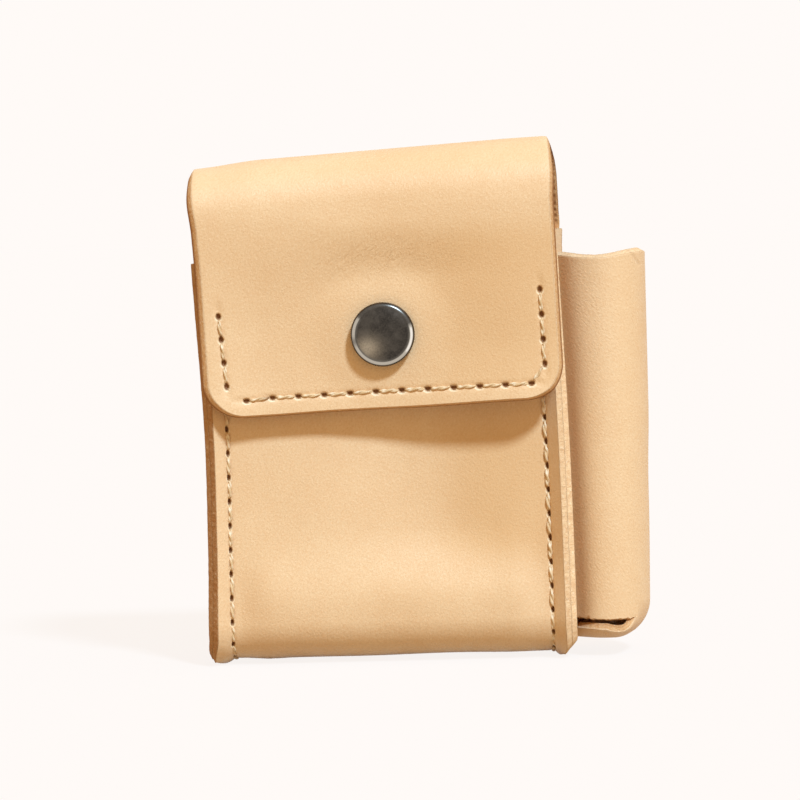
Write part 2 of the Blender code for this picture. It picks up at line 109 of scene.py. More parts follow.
def mix(a, b, t):
    return a + (b - a) * t


def unit(v):
    return v / np.maximum(np.linalg.norm(v, axis=-1, keepdims=True), 1e-12)


def joined(*parts, axis=0):
    return np.concatenate(parts, axis)


def stacked(*parts):
    """Arrays or numbers side by side along a new last axis, each spread to the others' shape."""
    return np.stack(np.broadcast_arrays(*parts), -1)


def run_length(line):
    """How far along the line each of its points is."""
    return joined([0], np.cumsum(np.linalg.norm(np.diff(line, axis=0), axis=1)))


def at_side(values, side):
    """The left's value where side is below 0, and otherwise the right's."""
    return np.where(np.asarray(side) < 0, values[-1], values[1])


class Waves:
    """Smooth, repeatable unevenness: a sum of sine waves in mixed directions, about 1 in size."""

    def __init__(self, seed, size, count=10):
        rng = np.random.default_rng(seed)
        self.k = unit(rng.normal(size=(count, 3))) * (2 * PI / size) * rng.uniform(0.6, 1.7, (count, 1))
        self.phase = rng.uniform(0, 2 * PI, count)

    def __call__(self, p):
        return np.sin(p @ self.k.T + self.phase).sum(-1) * math.sqrt(2 / len(self.phase)) / 1.6


def softplus(t, width=4.0):
    return width * np.logaddexp(0.0, t / width)


def leaning(p):
    """Each point's x, y and z, how far it is to the rear, and how far the worn pouch leans to the right there."""
    x, y, z = np.moveaxis(np.asarray(p, float), -1, 0)
    rear = past(y, -13, 26)
    return x, y, z, rear, mix(-0.0345 * softplus(z - 43.7), -0.105 * softplus(z - 84.5, 1.5), rear)


def moved(x, y, z, shift, skew, drop=0.0):
    """The points moved sideways and turned about the front, all but the far side of the lighter pocket."""
    held = 1 - past(x, 36.5, 6)
    return stacked(x + shift * held, y, z + x * skew * held * smooth(z / 6) - drop)


def settle(p):
    """How the worn pouch stands: its upper part leans to the left and its foot is a little spread."""
    x, y, z, rear, lean = leaning(p)
    shift = lean + 0.15 * (1 - past(z, 50, 35)) + (0.0125 * x + 0.12) * (1 - smooth(z / 55))
    shift = shift - past(-x, 33, 1.5) * (0.75 * (1 - smooth(z / 6)) + 0.25 * (1 - past(z, 6, 16)))
    shift = shift - 0.45 * past(z, 40, 45) * past(-x, 31, 4) * (1 - rear)
    return moved(x, y, z, shift, mix(0.006 + 0.006 * past(z, 42, 40), 0.057 * past(z, 86, 12), rear))


def hang(p):
    """The same for the roof and flap, whose left side hangs lower."""
    x, y, z, rear, lean = leaning(p)
    wider = 0.013 * x * past(z, 88, 8)
    front_skew = 0.006 + 0.029 * past(z, 42, 15) + 0.022 * past(z, 60, 35)
    return moved(x, y, z, lean + wider, mix(front_skew, 0.057 * past(z, 86, 12), rear), 0.35 * past(z, 96, 6))


def to_row(p):
    return (p + MIDDLE) * 0.001


# Materials

class Shader:
    """The nodes of a material or world: each call adds a node and gives back its output."""

    def __init__(self, owner):
        owner.use_nodes = True
        self.owner, self.nodes, self.links = owner, owner.node_tree.nodes, owner.node_tree.links

    def node(self, kind, inputs=None, out=0, **settings):
        made = self.nodes.new("ShaderNode" + kind)
        for name, value in settings.items():
            setattr(made, name, value)
        for key, value in (inputs or {}).items():
            self.plug(made.inputs[key], value)
        return made.outputs[out]

    def plug(self, socket, value):
        if isinstance(value, bpy.types.NodeSocket):
            self.links.new(value, socket)
        elif isinstance(value, tuple) and len(value) == 3 and socket.type == "RGBA":
            socket.default_value = (*value, 1.0)
        else:
            socket.default_value = value

    def attribute(self, name, out="Fac"):
        return self.node("Attribute", out=out, attribute_name=name)

    def noise(self, vector, scale, detail=2.0, rough=0.5, distort=0.0):
        return self.node("TexNoise", {"Vector": vector, "Scale": scale, "Detail": detail, "Roughness": rough,
                                      "Distortion": distort})

    def cells(self, vector, scale):
        return self.node("TexVoronoi", {"Vector": vector, "Scale": scale}, out="Distance")

    def scaled(self, vector, by):
        return self.node("VectorMath", {0: vector, 1: by}, operation="MULTIPLY")

    def math(self, operation, a, b):
        return self.node("Math", {0: a, 1: b}, operation=operation)

    def sum(self, a, b):
        return self.math("ADD", a, b)

    def times(self, a, b):
        return self.math("MULTIPLY", a, b)

    def span(self, value, low, high, to_low=0.0, to_high=1.0):
        """value from low to high, eased, as to_low to to_high."""
        return self.node("MapRange", {"Value": value, "From Min": low, "From Max": high, "To Min": to_low,
                                      "To Max": to_high}, interpolation_type="SMOOTHSTEP")

    def colour(self, fac, a, b):
        return self.node("Mix", {0: fac, 6: a, 7: b}, out=2, data_type="RGBA")

    def bump(self, height, distance, strength=1.0, **under):
        return self.node("Bump", {"Height": height, "Distance": distance, "Strength": strength, **under})

    def surface(self, **inputs):
        for key, value in inputs.items():
            self.plug(self.nodes["Principled BSDF"].inputs[key.replace("_", " ")], value)
        return self.owner

    def split(self, lighting, seen, end):
        """To the output: lighting for the rays that light things, seen for the camera's own and mirrored ones."""
        camera, glossy = (self.node("LightPath", out="Is %s Ray" % kind) for kind in ("Camera", "Glossy"))
        mixed = self.node("MixShader", {0: self.math("MAXIMUM", camera, glossy), 1: lighting, 2: seen})
        self.links.new(mixed, self.nodes[end].inputs["Surface"])


def leather_material():
    """Undyed vegetable-tanned leather: grain side, raw or burnished cut edge and flesh side in one."""
    s = Shader(bpy.data.materials.new("grain_leather"))
    rest = s.attribute("rest", "Vector")
    edge, flesh, dark_edge_and_shade, run = (s.attribute(key) for key in ("edge", "flesh", "dark_edge_and_shade", "run"))
    cloud = s.noise(rest, 0.045, 3.0)
    mottle = s.noise(rest, 0.30, 4.0, 0.6)
    speck = s.noise(rest, 2.1, 3.0, 0.65)
    slant = s.node("VectorRotate", {"Vector": rest, "Angle": 0.6}, rotation_type="Z_AXIS")
    pebble = s.noise(s.scaled(slant, (1.0, 1.7, 1.0)), 1.6, 4.0, 0.66, 0.4)
    pore = s.span(s.cells(rest, 1.6), 0.08, 0.2, 1.0, 0.0)
    grain = s.colour(s.span(cloud, 0.3, 0.7), (0.775, 0.500, 0.262), (0.815, 0.545, 0.297))
    grain = s.colour(s.times(s.span(mottle, 0.35, 0.75), 0.22), grain, (0.74, 0.43, 0.20))
    grain = s.colour(s.times(s.span(pebble, 0.42, 0.7), 0.42), grain, (0.69, 0.385, 0.175))
    grain = s.colour(s.times(s.span(speck, 0.5, 0.72), 0.36), grain, (0.92, 0.66, 0.40))
    grain = s.colour(s.times(pore, 0.10), grain, (0.50, 0.24, 0.09))
    # the tan value lays a deeper brown on the grain: painted shade
    grain = s.colour(s.attribute("tan"), grain, (0.66, 0.36, 0.135))
    grain_run = s.node("CombineXYZ", {"X": s.times(run, 0.55), "Y": s.times(flesh, 3.4)})
    fibre = s.noise(grain_run, 3.4, 4.0, 0.75, 0.6)
    tuft = s.noise(grain_run, 1.5, 3.0, 0.7)
    fleck = s.cells(s.node("CombineXYZ", {"X": run, "Y": s.times(flesh, 2.6)}), 2.3)
    cut = s.colour(s.span(tuft, 0.35, 0.65), (0.72, 0.36, 0.13), (0.85, 0.52, 0.24))
    # dark cut edges, darker towards the flesh side on the flap and fold; on the rims this darkness is only painted
    # shade, on the left ones that face away from the light
    cut = s.colour(s.times(dark_edge_and_shade, 0.9), cut, (0.27, 0.085, 0.014))
    thread_of_light = s.times(s.span(fibre, 0.52, 0.72), s.span(dark_edge_and_shade, 0.5, 0.9, 0.75, 0.0))
    cut = s.colour(thread_of_light, cut, (0.96, 0.78, 0.56))
    cut = s.colour(s.times(s.span(fibre, 0.30, 0.46, 1.0, 0.0), 0.45), cut, (0.40, 0.16, 0.055))
    cut = s.colour(s.times(s.span(fleck, 0.06, 0.2, 1.0, 0.0), 0.5), cut, (0.50, 0.20, 0.06))
    nap = s.noise(rest, 1.4, 5.0, 0.75)
    hide = s.colour(s.span(nap, 0.3, 0.7), (0.50, 0.22, 0.075), (0.72, 0.40, 0.165))
    face = s.colour(s.span(flesh, 0.45, 0.55), grain, hide)
    colour = s.colour(s.span(edge, 0.15, 0.6), face, cut)
    # painted highlights: on the holes' lower lips, along the grain corner of slanted cut edges, and on the right rims'
    # and the pocket's cut edges
    colour = s.colour(s.attribute("pale"), colour, (1.0, 0.81, 0.54))
    # painted shade: in the holes, in the pocket's crease, along the right rim's grain and, on the flesh side, in a
    # dotted line inside the back
    colour = s.colour(s.attribute("shade"), colour, (0.20, 0.064, 0.009))
    wrinkle = s.noise(s.scaled(slant, (0.35, 1.0, 1.0)), 0.9, 3.0, 0.6, 0.8)
    height = s.sum(s.times(pebble, 1.15), s.times(speck, 0.8))
    height = s.sum(height, s.times(s.times(wrinkle, s.attribute("crease")), 3.2))
    rough_height = s.sum(s.times(fibre, 1.2), s.times(nap, 1.2))
    raw = s.math("MAXIMUM", s.span(edge, 0.1, 0.5), s.span(flesh, 0.45, 0.55))
    bump = s.bump(height, 0.00010, strength=0.9)
    bump = s.bump(s.times(rough_height, raw), 0.00015, 0.8, Normal=bump)
    polish = s.span(mottle, 0.3, 0.7, 0.44, 0.54)
    rough = s.node("Mix", {0: raw, 2: polish, 3: 0.85})
    return s.surface(Base_Color=colour, Roughness=rough, Normal=bump, Specular_IOR_Level=0.3)


def thread_material():
    """Waxed linen: pale strands with fine fibres along the twist."""
    s = Shader(bpy.data.materials.new("waxed_thread"))
    rest = s.attribute("rest", "Vector")
    fibre = s.noise(s.scaled(rest, (0.8, 5.0, 5.0)), 2.6, 4.0, 0.65)
    patch = s.noise(rest, 0.5, 2.0)
    colour = s.colour(s.span(fibre, 0.3, 0.7), (0.55, 0.33, 0.14), (0.80, 0.55, 0.29))
    colour = s.colour(s.times(s.span(patch, 0.45, 0.75), 0.3), colour, (0.90, 0.69, 0.43))
    # painted highlights near both ends of each stitch where it rises over the leather, and painted shade where it
    # sinks into a hole
    colour = s.colour(s.attribute("pale"), colour, (1.0, 0.86, 0.63))
    colour = s.colour(s.attribute("shade"), colour, (0.30, 0.15, 0.06))
    return s.surface(Base_Color=colour, Roughness=0.5, Normal=s.bump(fibre, 0.00006), Specular_IOR_Level=0.35)


def metal_material(name, colour, dull, rough, shine):
    """Plated metal with fine marks and small scratches, and painted reflections: of the leather on the dome, and round
    the rim.
    """
    s = Shader(bpy.data.materials.new(name))
    place = s.attribute("rest", "Vector")
    haze = s.noise(place, 0.22, 3.0, 0.6)
    marks = s.noise(s.scaled(place, (3.0, 0.8, 1.0)), 1.0, 3.0, 0.7)
    grit = s.noise(place, 3.2, 4.0, 0.75)
    scratch = s.span(s.cells(s.scaled(place, (1.0, 7.0, 1.0)), 0.55), 0.0, 0.05, 1.0, 0.0)
    # the worn value is a painted reflection round the rim, and the other a painted reflection of the leather on the
    # dome
    bloom, worn = s.attribute("bloom"), s.attribute("worn")
    tint = s.colour(s.span(haze, 0.35, 0.7), colour, dull)
    tint = s.colour(s.times(s.span(grit, 0.42, 0.68), 0.6), tint, dull)
    tint = s.colour(s.times(bloom, s.span(grit, 0.25, 0.6, 0.55, 1.0)), tint, (0.40, 0.32, 0.22))
    # the rim's painted reflection, lightest where the value nears 1
    tint = s.colour(worn, tint, (0.58, 0.535, 0.455))
    tint = s.colour(s.span(worn, 0.88, 1.0), tint, (0.90, 0.87, 0.80))
    tint = s.colour(s.times(scratch, 0.2), tint, shine)
    roughness = s.sum(s.span(haze, 0.3, 0.75, rough, rough + 0.12), s.times(bloom, 0.15))
    return s.surface(Base_Color=tint, Roughness=roughness, Normal=s.bump(marks, 0.000006, strength=0.4),
                     Metallic=1.0)


LEATHER_LOOK = leather_material()
THREAD_LOOK = thread_material()
NICKEL_LOOK = metal_material("dark_nickel", (0.038, 0.033, 0.028), (0.100, 0.085, 0.068), 0.22, (0.3, 0.28, 0.25))
STEEL_LOOK = metal_material("spring_steel", (0.42, 0.42, 0.43), (0.3, 0.3, 0.31), 0.25, (0.6, 0.6, 0.6))


# Meshes

def put(name, data):
    thing = bpy.data.objects.new(name, data)
    bpy.context.scene.collection.objects.link(thing)
    return thing


def make_mesh(name, points, quads, tris, floats, rest, look, place=settle):
    """A smooth-shaded object from arrays, with its attributes, put in the row frame by way of place."""
    mesh = bpy.data.meshes.new(name)
    faces = [*quads.tolist(), *np.asarray(tris).tolist()]
    mesh.from_pydata(to_row(place(points)).tolist(), [], faces, shade_flat=False)
    mesh.validate()
    for key, values in {**floats, "rest": rest}.items():
        kind, field = ("FLOAT", "value") if values.ndim == 1 else ("FLOAT_VECTOR", "vector")
        mesh.attributes.new(key, kind, "POINT").data.foreach_set(field, values.astype(np.float32).ravel())
    mesh.set_sharp_from_angle(angle=SHARP)
    mesh.materials.append(look)
    return put(name, mesh)


def grid_quads(index):
    """The quads of a grid from its points' numbers."""
    return np.stack([index[:-1, :-1], index[1:, :-1], index[1:, 1:], index[:-1, 1:]], -1).reshape(-1, 4)


def numbers(shape, wrap=False):
    """A grid's points numbered row by row, with the first column again at its end where it goes all the way round."""
    index = np.arange(shape[0] * shape[1]).reshape(shape)
    return joined(index, index[:, :1], axis=1) if wrap else index


def vertex_normals(points, quads, tris):
    normals = np.zeros_like(points)
    for faces in (quads, tris):
        a, b, c, d = (points[faces[:, k]] for k in (0, 1, 2, faces.shape[1] - 1))
        face = np.cross(c - a, d - b) if faces.shape[1] == 4 else np.cross(b - a, c - a)
        for k in range(faces.shape[1]):
            np.add.at(normals, faces[:, k], face)
    return unit(normals)


def boundary_loops(quads, tris):
    """Each loop of edges that only one face has, in the face's own direction."""
    a, b = np.concatenate([(faces.T.ravel(), np.roll(faces, -1, 1).T.ravel()) for faces in (quads, tris)], 1)
    many = a.max() + 1
    open_edge = ~np.isin(a * many + b, b * many + a) & (a != b)
    after = dict(zip(a[open_edge].tolist(), b[open_edge].tolist()))
    loops = []
    while after:
        start = next(iter(after))
        loop, here = [start], after.pop(start)
        while here != start:
            loop.append(here)
            here = after.pop(here)
        loops.append(np.array(loop))
    return loops


def band(previous, ids):
    """The quads between two rings of points."""
    return np.stack([np.roll(previous, -1), previous, ids, np.roll(ids, -1)], -1)


# the marks shell() takes for each point; all but dip and crease paint shade or highlights onto the colour
MARKS = ("dip", "shade", "pale", "crease", "nicks", "tan", "soil")


def shell(name, grain, quads, coords, tris=(), thick=LEATHER, roll=0.3, square=0.55, flat=None, dark_edge_and_shade=(0.15, 0.15),
          rings=7, fray=0.05, slant=False, seed=1, place=settle, **marks):
    """A closed leather piece from its grain side: the flesh side, and the cut edge round every open loop.

    coords are the sheet's own, flat marks the points that butt against the next piece, and roll is how far the cut
    edge stands out. It gets squarer as square nears 0, the darkness pair sets how dark it is at the grain and at
    the flesh, fray how ragged, and slant slopes it out towards the flesh side. marks are values for each point: a dip,
    painted shade, painted highlights, creases, painted shadow on the flesh side, a deeper brown that is painted shade,
    and painted shade on the cut edge, which turns to painted light below 0."""
    grain = np.asarray(grain, float).reshape(-1, 3)
    tris = np.asarray(tris, int).reshape(-1, 3)
    count = len(grain)
    normals = vertex_normals(grain, quads, tris)
    none = np.zeros(count)
    dip, shade, pale, crease, nicks, tan, soil = (marks.get(key, none) for key in MARKS)
    roll = np.broadcast_to(roll, (count,))
    flat = np.zeros(count, bool) if flat is None else flat
    points = [grain - normals * dip[:, None], grain - normals * thick]
    all_quads, all_tris = [quads, quads[:, ::-1] + count], [tris, tris[:, ::-1] + count]
    run = none.copy()
    floats = {"edge": [none, none], "flesh": [none, none + 1], "shade": [shade, nicks], "dark_edge_and_shade": [none, none],
              "pale": [pale, none], "crease": [crease, none], "tan": [tan, none], "run": [run, none]}
    deep = np.array([0.0, 0.0, thick])
    rest = [coords, coords + deep]
    base = 2 * count
    rough, ragged = Waves(seed, 1.1), Waves(seed + 1, 0.45)
    for loop in boundary_loops(quads, tris):
        n = len(loop)
        here, after, before = grain[loop], grain[np.roll(loop, -1)], grain[np.roll(loop, 1)]
        far = run_length(here)
        run[loop] = far
        butt = flat[loop]
        forward, back = unit(after - here), unit(here - before)
        along = forward * ~(butt & np.roll(butt, -1))[:, None] + back * ~(butt & np.roll(butt, 1))[:, None]
        out = unit(np.cross(unit(along), normals[loop])) * (np.linalg.norm(along, axis=1) > 1e-6)[:, None]
        middle = here - normals[loop] * thick / 2
        previous = loop
        for k, angle in enumerate(np.linspace(PI / 2, -PI / 2, rings + 1)[1:-1]):
            cos, sin = math.cos(angle), math.sin(angle)
            share = (k + 1) / rings
            if slant:
                level, reach = 1 - 2 * share, min(1.0, share / 0.86) ** 0.85
            else:
                level, reach = math.copysign(abs(sin) ** square, sin), cos ** square
            ring = middle + normals[loop] * thick / 2 * level + out * roll[loop][:, None] * reach
            wobble = (rough(ring) * 0.6 + ragged(ring) * 0.6) * fray * cos
            points.append(ring + out * wobble[:, None])
            ids = base + np.arange(n)
            all_quads.append(band(previous, ids))
            rest.append(coords[loop] + deep * share)
            # a pale line along the grain corner of slanted cut edges is a painted highlight; painted shade on the cut
            # edge adds to its darkness and painted light, below 0, to its paleness
            line = 0.35 if slant and k == 0 else 0.0
            dark = mix(*dark_edge_and_shade, smooth(share * 3.3 - 1.4)) + np.maximum(soil[loop], 0)
            for key, value in (("edge", 1.0), ("flesh", share), ("crease", 0.0), ("tan", 0.0), ("dark_edge_and_shade", dark),
                               ("pale", np.maximum(-soil[loop], line)), ("shade", shade[loop]), ("run", far)):
                floats[key].append(np.full(n, 1.0) * value)
            previous = ids
            base += n
        all_quads.append(band(previous, loop + count))
    return make_mesh(name, np.concatenate(points), np.concatenate(all_quads), np.concatenate(all_tris),
                     {key: np.concatenate(values) for key, values in floats.items()}, np.concatenate(rest),
                     LEATHER_LOOK, place)


def rows_between(start, end, pitch):
    return np.linspace(start, end, max(2, int(round((end - start) / pitch)) + 1))[:, None]


def both_sides(s, inner, ends, count):
    """The grid's s and t, from the left edge to the right: inner's places on each side, then count more to its end."""
    left, right = (joined(np.broadcast_to(inner, (len(s), len(inner))),
                          mix(inner[-1], end, np.linspace(0, 1, count + 1)[1:]), axis=1) for end in ends)
    t = joined(-left[:, :0:-1], right, axis=1)
    return np.broadcast_to(s, t.shape), t


def sheet(name, grain, s, t, butts=(), **settings):
    """shell() on a grid from arrays of the grid's shape, butts being the rows that butt against the next piece."""
    flat = np.zeros(t.shape, bool)
    flat[list(butts)] = True
    settings = {key: value.ravel() if isinstance(value, np.ndarray) else value for key, value in settings.items()}
    return shell(name, grain, grid_quads(numbers(t.shape)), stacked(s, t, 0.0).reshape(-1, 3), flat=flat.ravel(),
                 **settings)


def carried(thing, body, slot, *replaced):
    """The piece, attached to its body (None if it bends between two), with the nodes it stands for hidden.
    slot, its material slot, is not used.
    """
    if body:
        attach(thing, body)
    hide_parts(*replaced)
    return thing


# The strip's way round, as seen from the side

class Path:
    """The strip's grain side in the YZ plane, from the front panel's upper edge round to the flap's lower edge."""

    def __init__(self):
        self.parts, self.length = [], 0.0

    def add(self, length, place):
        self.parts.append((self.length, length, place))
        self.length += length
        return self.length

    def line(self, start, end, angle):
        (y0, z0), (y1, z1) = start, end
        length = math.hypot(y1 - y0, z1 - z0)
        return self.add(length, lambda t: (mix(y0, y1, t), mix(z0, z1, t), angle + 0 * t))

    def arc(self, centre, radius, start, end):
        def place(t):
            angle = mix(start, end, np.clip(t, 0.0, 1.0))
            return centre[0] + radius * np.cos(angle), centre[1] + radius * np.sin(angle), angle
        return self.add(radius * abs(end - start), place)

    def at(self, s):
        """y, z and the grain's direction, the first and last parts going on without end."""
        s = np.asarray(s, float)
        found = np.zeros((3, *s.shape))
        for k, (start, length, place) in enumerate(self.parts):
            low = -np.inf if k == 0 else start
            high = np.inf if k == len(self.parts) - 1 else start + length
            here = (s >= low) & (s <= high)
            found[:, here] = place((s[here] - start) / length)
        return found


STRIP = Path()
FOOT_Y = HALF_DEPTH - FOOT_RADIUS
FOOT_Z = FOOT_LIFT + FOOT_RADIUS
FOLD_Y = HALF_DEPTH - BACK_FOLD
NOSE_Y = FRONT_FOLD - HALF_DEPTH - FLAP_FACE
S_FRONT = STRIP.line((-HALF_DEPTH, FRONT_TOP), (-HALF_DEPTH, FOOT_Z), PI)
S_BEND_1 = STRIP.arc((-FOOT_Y, FOOT_Z), FOOT_RADIUS, PI, 1.5 * PI)
S_FOOT = STRIP.line((-FOOT_Y, FOOT_LIFT), (FOOT_Y, FOOT_LIFT), 1.5 * PI)
S_BEND_2 = STRIP.arc((FOOT_Y, FOOT_Z), FOOT_RADIUS, 1.5 * PI, 2 * PI)
S_BACK = STRIP.line((HALF_DEPTH, FOOT_Z), (HALF_DEPTH, TOP - BACK_FOLD), 2 * PI)
S_FOLD = STRIP.arc((FOLD_Y, TOP - BACK_FOLD), BACK_FOLD, 2 * PI, 2.5 * PI)
S_ROOF = STRIP.line((FOLD_Y, TOP), (NOSE_Y, TOP), 2.5 * PI)
S_NOSE = STRIP.arc((NOSE_Y, TOP - FRONT_FOLD), FRONT_FOLD, 2.5 * PI, 3 * PI)
S_FLAP = STRIP.line((NOSE_Y - FRONT_FOLD, TOP - FRONT_FOLD), (NOSE_Y - FRONT_FOLD, FLAP_BOTTOM), 3 * PI)
S_MIDDLE = (S_BEND_1 + S_FOOT) / 2
S_JOIN = S_FOLD + FOLD_Y - ROOF_JOIN
S_GUSSET = FRONT_TOP - GUSSET_TOP
S_GUSSET_REAR = S_BEND_2 + GUSSET_REAR_TOP - FOOT_Z
S_PANEL = S_BEND_2 + PANEL_END - FOOT_Z


def rim_at(s, side):
    """The rim's flare and width along the strip, at the left (below 0) or right."""
    low = np.where(s < S_MIDDLE, past(s, S_FRONT, S_BEND_1 - S_FRONT), past(S_BEND_2, s, S_BEND_2 - S_FOOT))
    over = past(s, S_GUSSET_REAR, S_BACK - S_GUSSET_REAR)
    wider = 0.45 * past(s - S_GUSSET_REAR, -4, 6)
    high = np.where(s < S_MIDDLE, at_side(FRONT_FLARE, side), BACK_FLARE * (1 - over))
    return (mix(high, at_side(FOOT_FLARE, side), low),
            mix(at_side(RIM, side) + wider, at_side(FOOT_RIM, side), smooth(low * 1.6 - 0.6)))


PANEL_BEND = 2.2


def panel_section(t, flare):
    """Across the strip: the middle surface's x, its height out of the grain side, and how far it has turned."""
    start = STITCH_X - PANEL_BEND * np.tan(flare / 2)
    turn = np.clip((t - start) / PANEL_BEND, 0.0, flare)
    straight = np.maximum(t - start - PANEL_BEND * flare, 0.0)
    x = np.minimum(t, start) + PANEL_BEND * np.sin(turn) + straight * np.cos(flare)
    out = PANEL_BEND * (1 - np.cos(turn)) + straight * np.sin(flare) - HALF
    return x, out, turn


def on_strip(s, x, out):
    y, z, angle = STRIP.at(s)
    return stacked(x, y + out * np.cos(angle), z + out * np.sin(angle))


def strip_point(s, t, above=HALF):
    """A point of the strip from its length and width coordinates, above its middle surface."""
    flare, _ = rim_at(s, t)
    x, out, turn = panel_section(np.abs(t), flare)
    return on_strip(s, np.sign(t) * (x - above * np.sin(turn)), out + above * np.cos(turn))


# Holes and the dents that the thread pulls round them

HOLE_LONG = 0.72
HOLE_WIDE = 0.52
HOLE_DEEP = 0.9
PULLED = 0.26


def punched(u, v, holes):
    """Of holes at (u, v, angle) in the sheet's coordinates: the dip, the painted shade in each hole, and a painted
    highlight on its lip's lower side, where the light falls.
    """
    dip, dark, pale = np.zeros((3, *u.shape))
    for hu, hv, angle in holes:
        near = (np.abs(u - hu) < 4) & (np.abs(v - hv) < 4)
        du, dv = u[near] - hu, v[near] - hv
        along, across = du * math.cos(angle) + dv * math.sin(angle), dv * math.cos(angle) - du * math.sin(angle)
        reach = np.sqrt((along / HOLE_LONG) ** 2 + (across / HOLE_WIDE) ** 2)
        pit = HOLE_DEEP * (1 - past(reach, 0.6, 0.5))
        valley = PULLED * bell(across, 0, 0.7) * np.exp(-(along / 2.6) ** 4) * past(reach, 0.6, 0.6)
        lip = bell(reach, 1.32, 0.22)
        under = past(du / np.maximum(np.hypot(du, dv), 1e-6), -0.1, 0.6)
        # painted shade inside each hole and a painted highlight on its lower lip
        for layer, value in ((dip, pit + valley - 0.05 * lip), (dark, 0.95 * (1 - past(reach, 0.75, 0.35))),
                             (pale, 0.75 * lip * under)):
            layer[near] = np.maximum(layer[near], value)
    return dip, dark, pale


# where the dotted painted shadow runs, out from the middle
GAP_SHADOW_T = 35.15
SEAM_T = {-1: STITCH_X + 0.25, 1: STITCH_X}
SEAM_S = {side: np.array([s for s in first + pitch * np.arange(-7, 40) if S_GUSSET + 1.5 < s < S_GUSSET_REAR - 1.5])
          for side, first, pitch in ((-1, 35.3, 4.82), (1, 34.95, 4.78))}


# Body panel

def belly(s, t):
    """How far the front stands out: hollow in the middle and full above the foot."""
    hollow = 1.5 * np.clip(1 - ((t - 8) / 25) ** 2, 0, 1) ** 2 * past(s, 22, 16) * past(70, s, 14)
    side = 0.4 * past(t, 3, 24) * past(s, 24, 14) * (1 - past(s, 66, 14))
    full = 1.5 * np.exp(-((s - 70.5) / 8.5) ** 2)
    foot = 0.3 * past(s, 80, 6) * past(S_FOOT + 3, s, 8) * past(22, t, 44)
    return (full + foot + side) * past(30, np.abs(t), 6) - hollow


def inside_gap_shadow(s, t):
    """Painted shadow: a dotted dark line inside the back, along both edges above the gussets, where the gap behind
    the flap's edges lies in shade.
    """
    row = np.exp(-((np.abs(t) - GAP_SHADOW_T) / 0.42) ** 4) * past(s, S_GUSSET_REAR, 1.5)
    return row * (0.3 + 0.7 * smooth(np.sin(2 * PI * s / 1.1) * 0.8 + 0.5))


def rim_end(s, side):
    """How far the strip goes out, along its own middle surface."""
    flare, rim = rim_at(s, side)
    return STITCH_X + rim - PANEL_BEND * (np.tan(flare / 2) * 2 - flare)


RIM_ROLL = 0.22
# painted shade on the left rims' cut edges, which face away from the light, and painted light on the right ones
RIM_SHADE_AND_LIGHT = {-1: 0.72, 1: -0.26}
RIM_EDGE = {"square": 0.2, "fray": 0.06, "dark_edge_and_shade": (0.0, 0.0)}
FLOOR = 0.03


def panel_piece(name, s_rows, butts, seed):
    s, t = both_sides(s_rows, joined(np.linspace(0, 29.4, 15), np.linspace(30.2, 33.4, 22)),
                      [rim_end(s_rows, side) - RIM_ROLL for side in SIDES], 7)
    grain, angle = strip_point(s, t), STRIP.at(s)[2]
    swell = Waves(16, 38.0)(grain) * 0.2 * past(27, np.abs(t), 8) * past(S_PANEL, s, 14) + belly(s, t)
    grain[..., 1] += swell * np.cos(angle)
    toe = np.clip((np.abs(t) - (rim_end(s, t) - RIM_ROLL) + 1.5) / 1.5, 0, 1) ** 2
    grain[..., 2] = np.maximum(grain[..., 2] + swell * np.sin(angle), FLOOR + 0.6 * toe)
    dip, dark, pale = punched(s, t, [(u, side * SEAM_T[side], 0.0) for side in SIDES for u in SEAM_S[side]])
    # painted here: shade along the right rim's grain, a dotted shadow inside the back, and a deeper brown on the
    # front's right side that is painted shade
    return sheet(name, grain, s, t, butts, dip=dip, shade=np.maximum(dark, 0.07 * past(t, 32.6, 0.8)), pale=pale,
                 nicks=inside_gap_shadow(s, t), tan=0.45 * past(t, 6, 14) * past(s, 31, 10) * (1 - past(s, 58, 10)),
                 soil=at_side(RIM_SHADE_AND_LIGHT, t), seed=seed, roll=RIM_ROLL, **RIM_EDGE)


carried(panel_piece("panel_front", rows_between(0.25, S_MIDDLE, 0.215), (-1,), 11), "pouch", "grain_leather",
        "body_panel")
carried(panel_piece("panel_back", rows_between(S_MIDDLE, S_PANEL, 0.225), (0, -1), 12), "pouch", "grain_leather",
        "body_panel")


# The folds and the flap

def flap_relief(s, t):
    """How far the flap stands out from its plain shape: a brow, a sag below it, the right side sunk in, a flat
    place round the snap and a lifted lower edge."""
    z = S_FLAP - s + FLAP_BOTTOM
    brow = (0.85 + 1.3 * past(t, -4, 34)) * past(102, z, 13)
    across = np.where(t < 0, 1 - 0.62 * past(-t, 21, 17), 1 - 0.85 * smooth(t / 29))
    left = past(-t, 4, 18)
    sag = across * (2.2 * past(88 + 4 * left, z, 12 + 14 * left) + 0.45 * past(74, z, 14))
    slump = 0.5 * past(t, 6, 18) * past(80, z, 22)
    snap = 0.7 * (1 - past(np.hypot(t - SNAP_X, z - SNAP_Z), 6.3, 9))
    lip = 0.3 * past(57, z, 6) + 0.5 * past(t, 3, 20) * past(64, z, 13)
    return (brow - sag - slump + snap + lip) * past(s, S_ROOF, 12)


def droop(t, half):
    """The strip's long edges hang a little where it goes over the pack, the left one more."""
    left = 0.75 * past(-t, 21, 13) + 0.35 * smooth((-t - (half - 2.4)) / 2.2) ** 1.5
    right = 0.12 * past(t, 26, 9) + 0.3 * smooth((t - (half - 2.2)) / 2.0) ** 1.5
    return np.where(t < 0, left, right)


FLAP_ROLL = {-1: 1.35, 1: 0.95}
FLAP_ROLL_LOW = 0.5
CUT_EDGE = {"rings": 11, "dark_edge_and_shade": (0.22, 0.95), "slant": True, "place": hang}


